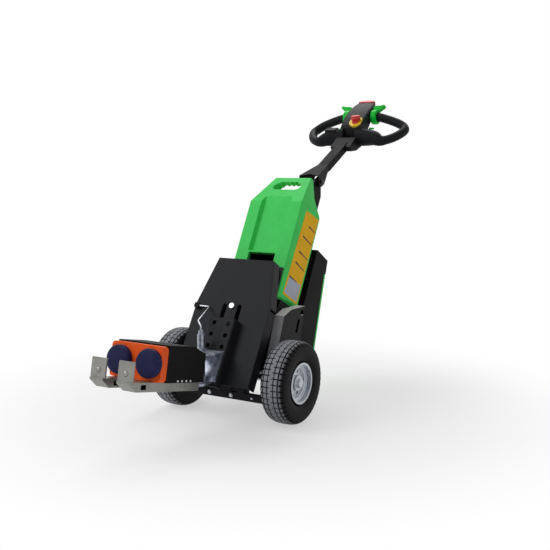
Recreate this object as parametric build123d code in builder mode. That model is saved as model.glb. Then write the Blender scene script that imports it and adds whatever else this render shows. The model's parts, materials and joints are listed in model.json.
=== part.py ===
"""Pedestrian electric tow tractor with a lift-out battery and a hook-and-buffer coupling.

The frame stands at the middle of the machine's footprint on the floor: +Z up, the coupling
toward -Y, the operator and the handle toward +Y. Left and right are as seen from the coupling.
Places along the machine are measured from the drive axle, so axle_y carries them into the frame.
"""

import os
from math import cos, radians, sin, tan

from build123d import *

# Whole machine
tyre_diameter = 260
tyre_width = 86
wheel_track = 420
running_gap = 0.3
fit_gap = 0.08
sheet = 5
cut_over = 10

axle_z = tyre_diameter / 2
tyre_radius = tyre_diameter / 2
wheel_x = wheel_track / 2

sides = (("left", -1), ("right", 1))


def at(x, y, z):
    """A point whose y is measured from the drive axle."""
    return (x, axle_y + y, z)


def side_plane(x):
    """A plane across the machine: its own x runs rearward, its own y runs up."""
    return Plane(origin=at(x, 0, 0), x_dir=(0, 1, 0), z_dir=(1, 0, 0))


def leaning_plane(x, y, z, lean):
    """A plane that leans back by lean degrees, its own y running up it and z facing front."""
    front = (0, -cos(radians(lean)), sin(radians(lean)))
    return Plane(origin=at(x, y, z), x_dir=(1, 0, 0), z_dir=front)


def up_lean(point, lean, up, front):
    """The (y, z) place that lies up a lean and out of its front from a (y, z) point."""
    c = cos(radians(lean))
    s = sin(radians(lean))
    return (point[0] + up * s - front * c, point[1] + up * c + front * s)


def save(piece, name):
    """Give the finished piece its name and write its own file."""
    piece.part.label = name
    export_step(piece.part, f"parts/{name}.step")


os.makedirs("parts", exist_ok=True)

# Drive wheels
bead_radius = 60
bead_half = 32
tread_half = 34
sidewall_mid_radius = 97
carcass = 9
rim_flange_radius = 64.6
rim_flange_width = 3
rim_seat_half = 35
rim_well_radius = 49
rim_well_half = 17
rim_wall = 3
rim_disc_offset = 12
rim_disc_wall = 5
hub_radius = 24
hub_half = 26
shaft_radius = 10
shaft_nut_radius = 15
shaft_nut_height = 9
rim_hand_hole_radius = 5
rim_hand_hole_ring = 36
rim_hand_holes = 5
# Front plate, a folded sheet that leans back
plate_lean = 30
plate_top_y = 67.7
plate_top_z = 494.8
plate_top_half = 105.5
plate_half = 141
plate_kink_drop = 163
plate_length = 420
plate_flange = 40
plate_corner = 8
plate_relief = 9
plate_slot_x = 27.8
plate_slot_width = 15
plate_slot_drop = 158
plate_slot_length = 90
clamp_head_radius = 10
clamp_head_height = 6
clamp_drop = 164
# Channel bolted on the plate's front
channel_half = 46.6
channel_depth = 30
channel_drop = 215.5
channel_length = 222
channel_hole_radius = 7
channel_hole_x = 26.4
channel_hole_pitch = 38.3
channel_hole_rows = 5
channel_first_row = 18.2
# Battery pack
battery_lean = 28
battery_foot_y = 91
battery_foot_z = 373
battery_front_half = 101
battery_back_half = 115
battery_shoulder_up = 344
battery_top_up = 468
battery_top_back = 68
battery_top_flat = 16
battery_top_half = 69
battery_back_up = 408
battery_back_in = 108
battery_waist_up = 341
battery_thick = 147
battery_waist_low = 243
battery_foot_thick = 131
battery_edge = 5
battery_recess_half = 44
battery_recess_depth = 26
battery_recess_low = 96
battery_recess_high = 322
grip_up = 424
grip_half = 55
grip_height = 27
grip_scallop_radius = 8.5
grip_scallops = 4
# Body behind and under the battery
body_half = 118
floor_z = 150
floor_sheet = 6
body_front_y = -12
body_brow_y = 54
body_brow_z = 326
body_crown_y = 408
body_crown_z = 465
body_crown_slope = 31
body_tail_y = 326
body_tail_z = 196
body_foot_y = 312
cover_depth = 12
cover_top_z = 420
cover_side_inset = 3
cradle_sheet = 4
cradle_wall_high = 104
seat_gap = 3
# Side pods beside the tyres
pod_half_outer = 152
pod_foot_y = -10
pod_foot_z = 165
pod_brow_y = 54
pod_brow_z = 324
pod_step_y = 99
pod_step_z = 338
pod_back_y = 186
pod_back_foot_y = 140
pod_edge = 3
pod_slot_width = 13
pod_slot_length = 48
pod_slot_y = 138
pod_slot_z = 279
pod_slot_lean = 24
pod_slot_depth = 14
pod_hole_radius = 10
pod_hole_y = 168
pod_hole_z = 318
# Base, drive unit and low bar
floor_half = 100
floor_front_y = -122
floor_rear_y = 312
bar_y = -78
bar_low_z = 72
bar_high_z = 97
bar_depth = 14
bar_half = 155
bar_lug_x = 78
bar_lug_width = 26
drive_radius = 40
drive_half = 60
drive_flange_half = 72
drive_flange_depth = 92
drive_flange_height = 8
drive_cap_radius = 26
drive_cap_length = 10
shaft_in_drive = 16
motor_radius = 33
motor_length = 92
# Castor
castor_y = 268
castor_trail = 36
castor_diameter = 110
castor_width = 32
castor_plate_length = 92
castor_plate_width = 76
castor_plate_height = 6
castor_race_radius = 28
castor_race_height = 10
castor_crown_radius = 27
castor_crown_height = 7
castor_leg = 4
castor_leg_gap = 3
castor_leg_low_radius = 15
castor_bolt_radius = 6
castor_bolt_head_radius = 9
castor_bolt_head = 5
castor_hub_radius = 17
castor_tread = 11
# Tiller mast on the body
mast_half = 23
mast_sheet = 5
pivot_y = 503
pivot_z = 739
pivot_radius = 6
pivot_head_radius = 10
pivot_head = 6
mast_eye_radius = 26
mast_waist_y = 535
mast_waist_z = 684
mast_front_y = 352
# Tiller arm
arm_half = 21
arm_fork_half = 30
arm_sheet = 4
arm_slope = 28.4
arm_knee_y = 588.7
arm_knee_z = 800.5
arm_depth = 28
arm_length = 126
arm_fork_front_y = 483
arm_fork_front_z = 762
arm_fork_rear_y = 541
arm_fork_rear_z = 690
# Handle head
head_slope = 44.6
head_near_y = 807
head_near_z = 902
head_length = 211
head_near_half = 41
head_far_half = 38
head_lid = 16
head_depth = 44
head_tongue_half = 11
head_tongue = 22
head_brow_along = -24
head_brow_over = 7
head_chin = 54
head_corner = 6
boss_half = 42
handle_tube = 34
estop_along = 72
estop_base_radius = 21
estop_base_height = 5
estop_stem_radius = 11
estop_stem_height = 9
estop_cap_radius = 16
estop_cap_height = 10
belly_height = 15
belly_depth = 32
thumb_radius = 29
thumb_width = 22
thumb_bore_gap = 1
paddle_over = 30
paddle_along = 22
paddle_reach = 92
paddle_length = 30
paddle_thick = 12
panel_width = 74
panel_height = 26
panel_thick = 12
panel_along = 26
# Coupling
coupling_pitch = 11.5
swivel_y = -200
bracket_half = 42
bracket_low_z = 138
bracket_high_z = 230
bracket_sheet = 8
bracket_nose = 30
swivel_barrel_radius = 22
swivel_pin_radius = 10
swivel_pin_head_radius = 16
swivel_pin_head = 8
neck_half = 26
neck_low = 20
neck_high = 16
coupler_rear_y = -297
coupler_rear_z = 177
coupler_length = 174
coupler_height = 102
coupler_half = 90
coupler_chamfer_along = 59
coupler_chamfer_rise = 20
buffer_plate_half = 94
buffer_plate_thick = 8
buffer_plate_height = 98
buffer_plate_corner = 12
buffer_plate_lip = 14
buffer_x = 52.4
buffer_radius = 41
buffer_thick = 31
buffer_up = 49
buffer_edge = 4
rail_inner = 24
rail_outer = 70
rail_height = 26
rail_front = 298
rail_rear = -8
rail_wall = 4
rail_chamfer = 30
rail_chamfer_rise = 20
rail_window_along = 240
rail_window = 22
rail_window_height = 13
hook_along = 287
hook_thick = 5
hook_height = 54
hook_inner = 21.5
hook_outer = 73.2
hook_corner = 3
hook_foot_along = 14
# Lock plunger and its wire
plunger_x = -30
plunger_y = -142
plunger_radius = 12
plunger_height = 44
plunger_cap_radius = 8
plunger_cap = 12
plunger_base = 6
clip_x = -128
clip_drop = 176
clip_size = 16
clip_height = 14
wire_radius = 2.5

battery_foot = (battery_foot_y, battery_foot_z)
plate_top = (plate_top_y, plate_top_z)
belly_edge = head_corner / 2
hc = cos(radians(head_slope))
hs = sin(radians(head_slope))
cp = cos(radians(coupling_pitch))
sp = sin(radians(coupling_pitch))


def in_battery(up, front):
    """The (y, z) place at a height up the battery and a depth out of its front face."""
    return up_lean(battery_foot, battery_lean, up, front)


def on_plate(down, front):
    """The (y, z) place down the front plate from its top edge and out of its front face."""
    return up_lean(plate_top, plate_lean, -down, front)


def on_head(along, over):
    """The (y, z) place along the head's lid from its near end and over its face."""
    return (head_near_y + along * hc - over * hs, head_near_z + along * hs + over * hc)


def on_arm(along, over):
    """The (y, z) place forward along the coupling arm and over its underside."""
    return (coupler_rear_y - along * cp + over * sp, coupler_rear_z + along * sp + over * cp)


# The machine reaches from the rails' noses to the belly switch's lower edge
front_reach = -on_arm(rail_front, rail_chamfer_rise - rail_height)[0]
belly_low = belly_edge - head_lid / 2 - belly_depth / 2
rear_reach = on_head(head_length + belly_height - belly_edge, belly_low)[0] + belly_edge
axle_y = (front_reach - rear_reach) / 2

# Tyres, rims and half shafts
for side, sign in sides:
    wheel_plane = Plane(origin=at(sign * wheel_x, 0, axle_z), x_dir=(1, 0, 0), z_dir=(0, -1, 0))
    spin = Axis(at(sign * wheel_x, 0, axle_z), (1, 0, 0))
    half = tyre_width / 2
    with BuildPart() as tyre:
        with BuildSketch(wheel_plane):
            with BuildLine():
                Line((-tread_half, tyre_radius), (tread_half, tyre_radius))
                ThreePointArc((tread_half, tyre_radius), (half, sidewall_mid_radius), (bead_half, bead_radius))
                Line((bead_half, bead_radius), (-bead_half, bead_radius))
                ThreePointArc(
                    (-bead_half, bead_radius), (-half, sidewall_mid_radius), (-tread_half, tyre_radius)
                )
            make_face()
            with BuildLine():
                Line(
                    (-tread_half + carcass, tyre_radius - carcass), (tread_half - carcass, tyre_radius - carcass)
                )
                ThreePointArc(
                    (tread_half - carcass, tyre_radius - carcass),
                    (half - carcass, sidewall_mid_radius),
                    (bead_half - carcass, bead_radius),
                )
                Line((bead_half - carcass, bead_radius), (carcass - bead_half, bead_radius))
                ThreePointArc(
                    (carcass - bead_half, bead_radius),
                    (carcass - half, sidewall_mid_radius),
                    (carcass - tread_half, tyre_radius - carcass),
                )
            make_face(mode=Mode.SUBTRACT)
        revolve(axis=spin)
    save(tyre, f"tyre_{side}")

    with BuildPart() as rim:
        with BuildSketch(wheel_plane):
            with BuildLine():
                rim_edge = rim_seat_half + rim_flange_width
                Polyline(
                    (-rim_edge, rim_flange_radius),
                    (-rim_seat_half, rim_flange_radius),
                    (-rim_seat_half, bead_radius),
                    (-rim_well_half - rim_wall, bead_radius),
                    (-rim_well_half, rim_well_radius),
                    (rim_well_half, rim_well_radius),
                    (rim_well_half + rim_wall, bead_radius),
                    (rim_seat_half, bead_radius),
                    (rim_seat_half, rim_flange_radius),
                    (rim_edge, rim_flange_radius),
                    (rim_edge, bead_radius - rim_wall),
                    (rim_well_half + rim_wall + rim_wall, bead_radius - rim_wall),
                    (rim_well_half + rim_wall, rim_well_radius - rim_wall),
                    (-rim_well_half - rim_wall, rim_well_radius - rim_wall),
                    (-rim_well_half - rim_wall - rim_wall, bead_radius - rim_wall),
                    (-rim_edge, bead_radius - rim_wall),
                    close=True,
                )
            make_face()
            with Locations((sign * rim_disc_offset, (rim_well_radius + shaft_radius) / 2)):
                Rectangle(rim_disc_wall, rim_well_radius - shaft_radius - rim_wall / 2)
            with Locations((0, (hub_radius + shaft_radius) / 2)):
                Rectangle(2 * hub_half, hub_radius - shaft_radius)
        revolve(axis=spin)
        hole_plane = side_plane(sign * wheel_x).shift_origin(at(sign * wheel_x, 0, axle_z))
        with BuildSketch(hole_plane):
            with PolarLocations(rim_hand_hole_ring, rim_hand_holes):
                Circle(rim_hand_hole_radius)
        extrude(amount=rim_seat_half, both=True, mode=Mode.SUBTRACT)
    save(rim, f"rim_{side}")

    shaft_inner = drive_half + drive_cap_length - shaft_in_drive
    shaft_outer = wheel_x + hub_half
    shaft_plane = side_plane(sign * shaft_inner).shift_origin(at(sign * shaft_inner, 0, axle_z))
    nut_plane = side_plane(sign * shaft_outer).shift_origin(at(sign * shaft_outer, 0, axle_z))
    with BuildPart() as half_shaft:
        with BuildSketch(shaft_plane):
            Circle(shaft_radius)
        extrude(amount=sign * (shaft_outer - shaft_inner))
        with BuildSketch(nut_plane):
            RegularPolygon(shaft_nut_radius, 6)
        extrude(amount=sign * shaft_nut_height)
    save(half_shaft, f"half_shaft_{side}")

# Drive unit under the floor, with its bearings for the half shafts
with BuildPart() as drive_unit:
    centre_plane = side_plane(0).shift_origin(at(0, 0, axle_z))
    with BuildSketch(centre_plane):
        Circle(drive_radius)
    extrude(amount=drive_half, both=True)
    with BuildSketch(centre_plane):
        Circle(drive_cap_radius)
    extrude(amount=drive_half + drive_cap_length, both=True)
    motor_mid = axle_z - drive_radius + motor_radius
    with BuildSketch(Plane(origin=at(0, 0, motor_mid), x_dir=(1, 0, 0), z_dir=(0, 1, 0))):
        Circle(motor_radius)
    extrude(amount=drive_radius + motor_length)
    with BuildSketch(Plane.XY.offset(floor_z - drive_flange_height)):
        with Locations((0, axle_y)):
            RectangleRounded(2 * drive_flange_half, drive_flange_depth, plate_corner)
    extrude(amount=drive_flange_height)
    with BuildSketch(Plane.XY.offset(floor_z)):
        with Locations((0, axle_y)):
            Rectangle(wheel_track, wheel_track)
    extrude(amount=drive_radius, mode=Mode.SUBTRACT)
    with BuildSketch(centre_plane):
        Circle(shaft_radius + fit_gap)
    extrude(amount=wheel_x, both=True, mode=Mode.SUBTRACT)
    with BuildSketch(centre_plane):
        Circle(shaft_radius + fit_gap)
    extrude(amount=drive_half + drive_cap_length - shaft_in_drive - running_gap, both=True)
save(drive_unit, "drive_unit")

# Base: the floor sheet with its side webs turned up
with BuildPart() as base_frame:
    with BuildSketch(Plane.XY.offset(floor_z)):
        with Locations((0, axle_y + (floor_front_y + floor_rear_y) / 2)):
            Rectangle(2 * floor_half, floor_rear_y - floor_front_y)
    extrude(amount=floor_sheet)
    web_front = floor_front_y + plate_flange
    web_rear = body_front_y - seat_gap
    web_height = plate_flange
    for side, sign in sides:
        web_x = sign * (floor_half - sheet / 2)
        with BuildSketch(side_plane(web_x)):
            with BuildLine():
                Polyline(
                    (web_front, floor_z),
                    (web_rear, floor_z),
                    (web_rear, floor_z + web_height),
                    (web_front + web_height * tan(radians(plate_lean)), floor_z + web_height),
                    close=True,
                )
            make_face()
        extrude(amount=sheet / 2, both=True)
save(base_frame, "base_frame")

# Low cross bar with its two lugs
with BuildPart() as front_cross_bar:
    bar_mid_z = (bar_low_z + bar_high_z) / 2
    with BuildSketch(side_plane(0)):
        with Locations((bar_y, bar_mid_z)):
            RectangleRounded(bar_depth, bar_high_z - bar_low_z, bar_depth / 5)
    extrude(amount=bar_half, both=True)
    with BuildSketch(Plane.XY.offset(bar_mid_z)):
        with Locations((-bar_lug_x, axle_y + bar_y), (bar_lug_x, axle_y + bar_y)):
            Rectangle(bar_lug_width, bar_depth)
    extrude(amount=floor_z - bar_mid_z)
save(front_cross_bar, "front_cross_bar")

# Front plate: a sheet with both edges folded back
plate_plane = leaning_plane(0, plate_top_y, plate_top_z, plate_lean)
with BuildPart() as front_plate:
    with BuildSketch(plate_plane):
        with BuildLine():
            Polyline(
                (-plate_top_half, 0),
                (plate_top_half, 0),
                (plate_half, -plate_kink_drop),
                (plate_half, -plate_length),
                (-plate_half, -plate_length),
                (-plate_half, -plate_kink_drop),
                close=True,
            )
        make_face()
    extrude(amount=-plate_flange)
    with BuildSketch(plate_plane.offset(-sheet)):
        with BuildLine():
            Polyline(
                (-plate_top_half + sheet, cut_over),
                (plate_top_half - sheet, cut_over),
                (plate_top_half - sheet, 0),
                (plate_half - sheet, -plate_kink_drop),
                (plate_half - sheet, -plate_length - cut_over),
                (-plate_half + sheet, -plate_length - cut_over),
                (-plate_half + sheet, -plate_kink_drop),
                (-plate_top_half + sheet, 0),
                close=True,
            )
        make_face()
    extrude(amount=-plate_flange, mode=Mode.SUBTRACT)
    with BuildSketch(plate_plane.offset(-sheet)):
        with Locations((-plate_half, -plate_kink_drop), (plate_half, -plate_kink_drop)):
            Rectangle(2 * plate_relief, plate_relief)
    extrude(amount=-plate_flange, mode=Mode.SUBTRACT)
    with BuildSketch(plate_plane):
        slot_mid = -plate_slot_drop - plate_slot_length / 2
        with Locations((-plate_slot_x, slot_mid), (plate_slot_x, slot_mid)):
            SlotOverall(plate_slot_length, plate_slot_width, rotation=90)
    extrude(amount=-plate_flange / 2, mode=Mode.SUBTRACT)
save(front_plate, "front_plate")

with BuildPart() as clamp_bolt:
    with BuildSketch(plate_plane):
        with Locations((0, -clamp_drop)):
            Circle(clamp_head_radius)
    extrude(amount=clamp_head_height)
    fillet(clamp_bolt.faces().sort_by(Axis.Y)[0].edges(), clamp_head_height / 3)
save(clamp_bolt, "clamp_bolt")

# Channel on the front plate, with its two columns of holes
channel_plane = leaning_plane(0, *on_plate(channel_drop, 0), plate_lean)
with BuildPart() as coupling_channel:
    with BuildSketch(channel_plane):
        with Locations((0, -channel_length / 2)):
            Rectangle(2 * channel_half, channel_length)
    extrude(amount=channel_depth)
    fillet(coupling_channel.edges().filter_by(Axis((0, 0, 0), plate_plane.y_dir)).group_by(Axis.Y)[0], sheet)
    with BuildSketch(channel_plane):
        with Locations((0, -channel_length / 2)):
            Rectangle(2 * (channel_half - sheet), channel_length)
    extrude(amount=channel_depth - sheet, mode=Mode.SUBTRACT)
    with BuildSketch(channel_plane):
        for row in range(channel_hole_rows):
            row_y = -channel_first_row - row * channel_hole_pitch
            with Locations((-channel_hole_x, row_y), (channel_hole_x, row_y)):
                Circle(channel_hole_radius)
    extrude(amount=channel_depth, mode=Mode.SUBTRACT)
save(coupling_channel, "coupling_channel")

# Body: the closed housing under and behind the battery
body_seat = -battery_thick - seat_gap
seat_low = -running_gap - cradle_sheet
tan_crown = tan(radians(body_crown_slope))
seat_start = in_battery(seat_low, body_seat)
crown_rise = body_crown_z + (body_crown_y - seat_start[0]) * tan_crown - seat_start[1]
crown_up = crown_rise / (cos(radians(battery_lean)) + sin(radians(battery_lean)) * tan_crown)
seat_top = up_lean(seat_start, battery_lean, crown_up, 0)
rear_dy = body_crown_y - body_tail_y
rear_dz = body_crown_z - body_tail_z
cover_top_y = body_crown_y - rear_dy * (body_crown_z - cover_top_z) / rear_dz
with BuildPart() as rear_box:
    with BuildSketch(side_plane(0)):
        with BuildLine():
            Polyline(
                (body_front_y, floor_z + floor_sheet),
                (body_brow_y, body_brow_z),
                in_battery(seat_low, 0),
                seat_start,
                seat_top,
                (body_crown_y, body_crown_z),
                (cover_top_y, cover_top_z),
                (cover_top_y - cover_depth, cover_top_z),
                (body_tail_y - cover_depth, body_tail_z),
                (body_foot_y - cover_depth, floor_z + floor_sheet),
                close=True,
            )
        make_face()
    extrude(amount=body_half, both=True)
    fillet(rear_box.edges().filter_by(Axis.X).group_by(Axis.Z)[-2:], battery_edge / 2)
save(rear_box, "rear_box")

with BuildPart() as rear_cover:
    with BuildSketch(side_plane(0)):
        with BuildLine():
            Polyline(
                (cover_top_y - cover_depth, cover_top_z),
                (cover_top_y, cover_top_z),
                (body_tail_y, body_tail_z),
                (body_foot_y, floor_z + floor_sheet),
                (body_foot_y - cover_depth, floor_z + floor_sheet),
                (body_tail_y - cover_depth, body_tail_z),
                close=True,
            )
        make_face()
    extrude(amount=body_half, both=True)
save(rear_cover, "rear_cover")

# Cradle: a folded sheet under the battery and in front of its foot
with BuildPart() as battery_cradle:
    with BuildSketch(side_plane(0)):
        with BuildLine():
            wall_in = seat_gap
            wall_out = seat_gap + cradle_sheet
            floor_up = -running_gap
            Polyline(
                in_battery(floor_up, -battery_thick),
                in_battery(floor_up, wall_in),
                in_battery(cradle_wall_high, wall_in),
                in_battery(cradle_wall_high, wall_out),
                in_battery(seat_low, wall_out),
                in_battery(seat_low, -battery_thick),
                close=True,
            )
        make_face()
    extrude(amount=floor_half, both=True)
    for sign in (-1, 1):
        with BuildSketch(side_plane(sign * (plate_top_half - 4 * sheet))):
            with BuildLine():
                Polyline(
                    in_battery(seat_low, wall_out),
                    in_battery(cradle_wall_high, wall_out),
                    on_plate(plate_kink_drop / 2, -sheet),
                    on_plate(plate_kink_drop + plate_flange, -sheet),
                    close=True,
                )
            make_face()
        extrude(amount=cradle_sheet / 2, both=True)
save(battery_cradle, "battery_cradle")

# Battery: side profile, narrowed to the front and to the top, with a grip hole and a front recess
battery_plane = leaning_plane(0, battery_foot_y, battery_foot_z, battery_lean)
battery_dir = (0, sin(radians(battery_lean)), cos(radians(battery_lean)))
foot_plane = Plane(origin=at(0, *battery_foot), x_dir=(1, 0, 0), z_dir=battery_dir)
with BuildPart() as battery_pack:
    with BuildSketch(side_plane(0)):
        with BuildLine():
            Polyline(
                in_battery(0, 0),
                in_battery(battery_shoulder_up, 0),
                in_battery(battery_top_up, -battery_top_back),
                in_battery(battery_top_up, -battery_top_back - battery_top_flat),
                in_battery(battery_back_up, -battery_back_in),
                in_battery(battery_waist_up, -battery_thick),
                in_battery(battery_waist_low, -battery_thick),
                in_battery(0, -battery_foot_thick),
                close=True,
            )
        make_face()
    extrude(amount=battery_back_half, both=True)
    with BuildSketch(foot_plane):
        with BuildLine():
            Polyline(
                (-battery_front_half, 0),
                (battery_front_half, 0),
                (battery_back_half, battery_thick),
                (-battery_back_half, battery_thick),
                close=True,
            )
        make_face()
    extrude(amount=battery_top_up, mode=Mode.INTERSECT)
    with BuildSketch(battery_plane.offset(cut_over)):
        with BuildLine():
            Polyline(
                (-battery_back_half, 0),
                (battery_back_half, 0),
                (battery_back_half, battery_shoulder_up),
                (battery_front_half, battery_shoulder_up),
                (battery_top_half, battery_top_up),
                (-battery_top_half, battery_top_up),
                (-battery_front_half, battery_shoulder_up),
                (-battery_back_half, battery_shoulder_up),
                close=True,
            )
        make_face()
    extrude(amount=-battery_thick - 2 * cut_over, mode=Mode.INTERSECT)
    with BuildSketch(battery_plane):
        with Locations((0, (battery_recess_low + battery_recess_high) / 2)):
            Rectangle(2 * battery_recess_half, battery_recess_high - battery_recess_low)
    extrude(amount=-battery_recess_depth, taper=battery_edge, mode=Mode.SUBTRACT)
    with BuildSketch(battery_plane):
        with Locations((0, grip_up)):
            SlotOverall(2 * grip_half, grip_height)
        scallop_pitch = 2 * (grip_half - grip_height / 2) / grip_scallops
        for place in range(grip_scallops):
            scallop_x = (place - (grip_scallops - 1) / 2) * scallop_pitch
            with Locations((scallop_x, grip_up + grip_height / 2)):
                Circle(grip_scallop_radius)
    extrude(amount=-battery_thick, mode=Mode.SUBTRACT)
save(battery_pack, "battery_pack")

# Side pods
for side, sign in sides:
    with BuildPart() as side_pod:
        with BuildSketch(side_plane(sign * body_half)):
            with BuildLine():
                Polyline(
                    (pod_foot_y, pod_foot_z),
                    (pod_brow_y, pod_brow_z),
                    (pod_step_y, pod_step_z),
                    (pod_back_y, pod_step_z),
                    (pod_back_foot_y, pod_foot_z),
                    close=True,
                )
            make_face()
        extrude(amount=sign * (pod_half_outer - body_half))
        outer = side_plane(sign * pod_half_outer)
        slot_place = outer.shift_origin(at(sign * pod_half_outer, pod_slot_y, pod_slot_z))
        with BuildSketch(slot_place):
            SlotOverall(pod_slot_length, pod_slot_width, rotation=90 - pod_slot_lean)
        extrude(amount=-sign * pod_slot_depth, mode=Mode.SUBTRACT)
        with BuildSketch(outer.shift_origin(at(sign * pod_half_outer, pod_hole_y, pod_hole_z))):
            Circle(pod_hole_radius)
        extrude(amount=-sign * pod_slot_depth, mode=Mode.SUBTRACT)
    save(side_pod, f"side_pod_{side}")

# Castor
swivel_top = floor_z - castor_plate_height
race_low = swivel_top - castor_race_height
crown_top = race_low - running_gap
crown_low = crown_top - castor_crown_height
castor_wheel_z = castor_diameter / 2
castor_wheel_y = castor_y + castor_trail
with BuildPart() as castor_plate:
    with BuildSketch(Plane.XY.offset(floor_z)):
        with Locations((0, axle_y + castor_y)):
            RectangleRounded(castor_plate_width, castor_plate_length, plate_corner)
    extrude(amount=-castor_plate_height)
    with BuildSketch(Plane.XY.offset(swivel_top)):
        with Locations((0, axle_y + castor_y)):
            Circle(castor_race_radius)
    extrude(amount=-castor_race_height)
save(castor_plate, "castor_plate")

castor_half = castor_width / 2
leg_in = castor_half + castor_leg_gap
with BuildPart() as castor_fork:
    with BuildSketch(Plane.XY.offset(crown_low)):
        with Locations((0, axle_y + castor_y)):
            Circle(castor_crown_radius)
    extrude(amount=castor_crown_height)
    for sign in (-1, 1):
        with BuildSketch(side_plane(sign * leg_in)):
            with BuildLine():
                Polyline(
                    (castor_y - castor_crown_radius / 2, crown_top),
                    (castor_y + castor_crown_radius / 2, crown_top),
                    (castor_wheel_y + castor_leg_low_radius, castor_wheel_z),
                    (castor_wheel_y - castor_leg_low_radius, castor_wheel_z),
                    close=True,
                )
            make_face()
            with Locations((castor_wheel_y, castor_wheel_z)):
                Circle(castor_leg_low_radius)
        extrude(amount=sign * castor_leg)
    castor_bolt_plane = side_plane(0).shift_origin(at(0, castor_wheel_y, castor_wheel_z))
    with BuildSketch(castor_bolt_plane):
        Circle(castor_bolt_radius)
    extrude(amount=leg_in + castor_leg, both=True)
    for sign in (-1, 1):
        with BuildSketch(castor_bolt_plane.offset(sign * (leg_in + castor_leg))):
            RegularPolygon(castor_bolt_head_radius, 6)
        extrude(amount=sign * castor_bolt_head)
save(castor_fork, "castor_fork")

with BuildPart() as castor_wheel:
    with BuildSketch(castor_bolt_plane):
        Circle(castor_wheel_z)
    extrude(amount=castor_half, both=True)
    fillet(castor_wheel.edges(), castor_tread / 2)
    with BuildSketch(castor_bolt_plane):
        Circle(castor_wheel_z - castor_tread)
        Circle(castor_hub_radius, mode=Mode.SUBTRACT)
    extrude(amount=castor_half, both=True, mode=Mode.SUBTRACT)
    with BuildSketch(castor_bolt_plane):
        Circle(castor_wheel_z - castor_tread)
    extrude(amount=castor_tread / 2, both=True)
    with BuildSketch(castor_bolt_plane):
        Circle(castor_bolt_radius + fit_gap)
    extrude(amount=castor_width, both=True, mode=Mode.SUBTRACT)
save(castor_wheel, "castor_wheel")

# Tiller mast: two plates on the body, with the pivot bolt through their eyes
mast_foot = up_lean(seat_top, battery_lean, 0, -mast_sheet)
mast_foot_y = seat_top[0] + cut_over
mast_foot_z = body_crown_z + (body_crown_y - mast_foot_y) * tan_crown
mast_heel_y = body_crown_y - mast_sheet
mast_heel_z = body_crown_z + mast_sheet * tan_crown
with BuildPart() as tiller_mast:
    for side, sign in sides:
        with BuildSketch(side_plane(sign * mast_half)):
            with BuildLine():
                Polyline(
                    (mast_foot_y, mast_foot_z),
                    (mast_heel_y, mast_heel_z),
                    (mast_waist_y, mast_waist_z),
                    (pivot_y + mast_eye_radius, pivot_z),
                    (pivot_y - mast_eye_radius, pivot_z),
                    close=True,
                )
            make_face()
            with Locations((pivot_y, pivot_z)):
                Circle(mast_eye_radius)
                Circle(pivot_radius, mode=Mode.SUBTRACT)
        extrude(amount=-sign * mast_sheet)
    with BuildSketch(side_plane(0)):
        with BuildLine():
            Polyline(
                (mast_heel_y, mast_heel_z),
                (mast_waist_y, mast_waist_z),
                (mast_waist_y - mast_sheet, mast_waist_z),
                (mast_heel_y - mast_sheet, mast_heel_z + mast_sheet * tan_crown),
                close=True,
            )
        make_face()
    extrude(amount=mast_half - mast_sheet, both=True)
save(tiller_mast, "tiller_mast")

pivot_plane = side_plane(0).shift_origin(at(0, pivot_y, pivot_z))
with BuildPart() as pivot_bolt:
    with BuildSketch(pivot_plane):
        Circle(pivot_radius)
    extrude(amount=arm_fork_half + running_gap, both=True)
    for sign in (-1, 1):
        with BuildSketch(pivot_plane.offset(sign * (arm_fork_half + running_gap))):
            RegularPolygon(pivot_head_radius, 6)
        extrude(amount=sign * pivot_head)
save(pivot_bolt, "pivot_bolt")

# Tiller arm: a folded channel whose flanges widen into the fork at the pivot
arm_plane = Plane(
    origin=at(0, arm_knee_y, arm_knee_z),
    x_dir=(1, 0, 0),
    z_dir=(0, cos(radians(arm_slope)), sin(radians(arm_slope))),
)
arm_dir_y = cos(radians(arm_slope))
arm_dir_z = sin(radians(arm_slope))
arm_top_y = arm_knee_y + arm_length * arm_dir_y
arm_top_z = arm_knee_z + arm_length * arm_dir_z
arm_under_y = arm_depth * arm_dir_z
arm_under_z = arm_depth * arm_dir_y
with BuildPart() as tiller_arm:
    with BuildSketch(arm_plane):
        with Locations((0, arm_depth / 2)):
            Rectangle(2 * arm_half, arm_depth)
    extrude(amount=arm_length)
    for sign in (-1, 1):
        with BuildSketch(side_plane(sign * arm_fork_half)):
            with BuildLine():
                Polyline(
                    (arm_fork_front_y, arm_fork_front_z),
                    (arm_knee_y, arm_knee_z),
                    (arm_knee_y + 2 * arm_depth * arm_dir_y, arm_knee_z + 2 * arm_depth * arm_dir_z),
                    (
                        arm_knee_y + 2 * arm_depth * arm_dir_y + arm_under_y,
                        arm_knee_z + 2 * arm_depth * arm_dir_z - arm_under_z,
                    ),
                    (arm_knee_y + arm_under_y, arm_knee_z - arm_under_z),
                    (arm_fork_rear_y, arm_fork_rear_z),
                    (pivot_y, pivot_z - mast_eye_radius),
                    close=True,
                )
            make_face()
            with Locations((pivot_y, pivot_z)):
                Circle(pivot_radius + fit_gap, mode=Mode.SUBTRACT)
        extrude(amount=-sign * (arm_fork_half - mast_half - running_gap))
    web_drop = arm_sheet
    with BuildSketch(side_plane(0)):
        with BuildLine():
            Polyline(
                (arm_knee_y - arm_depth * arm_dir_y, arm_knee_z - arm_depth * arm_dir_z),
                (arm_knee_y, arm_knee_z),
                (arm_knee_y + arm_under_y, arm_knee_z - arm_under_z),
                (arm_knee_y + arm_under_y - arm_depth / 2, arm_knee_z - arm_under_z - arm_depth / 2),
                close=True,
            )
        make_face()
    extrude(amount=arm_fork_half - sheet, both=True)
save(tiller_arm, "tiller_arm")

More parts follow.
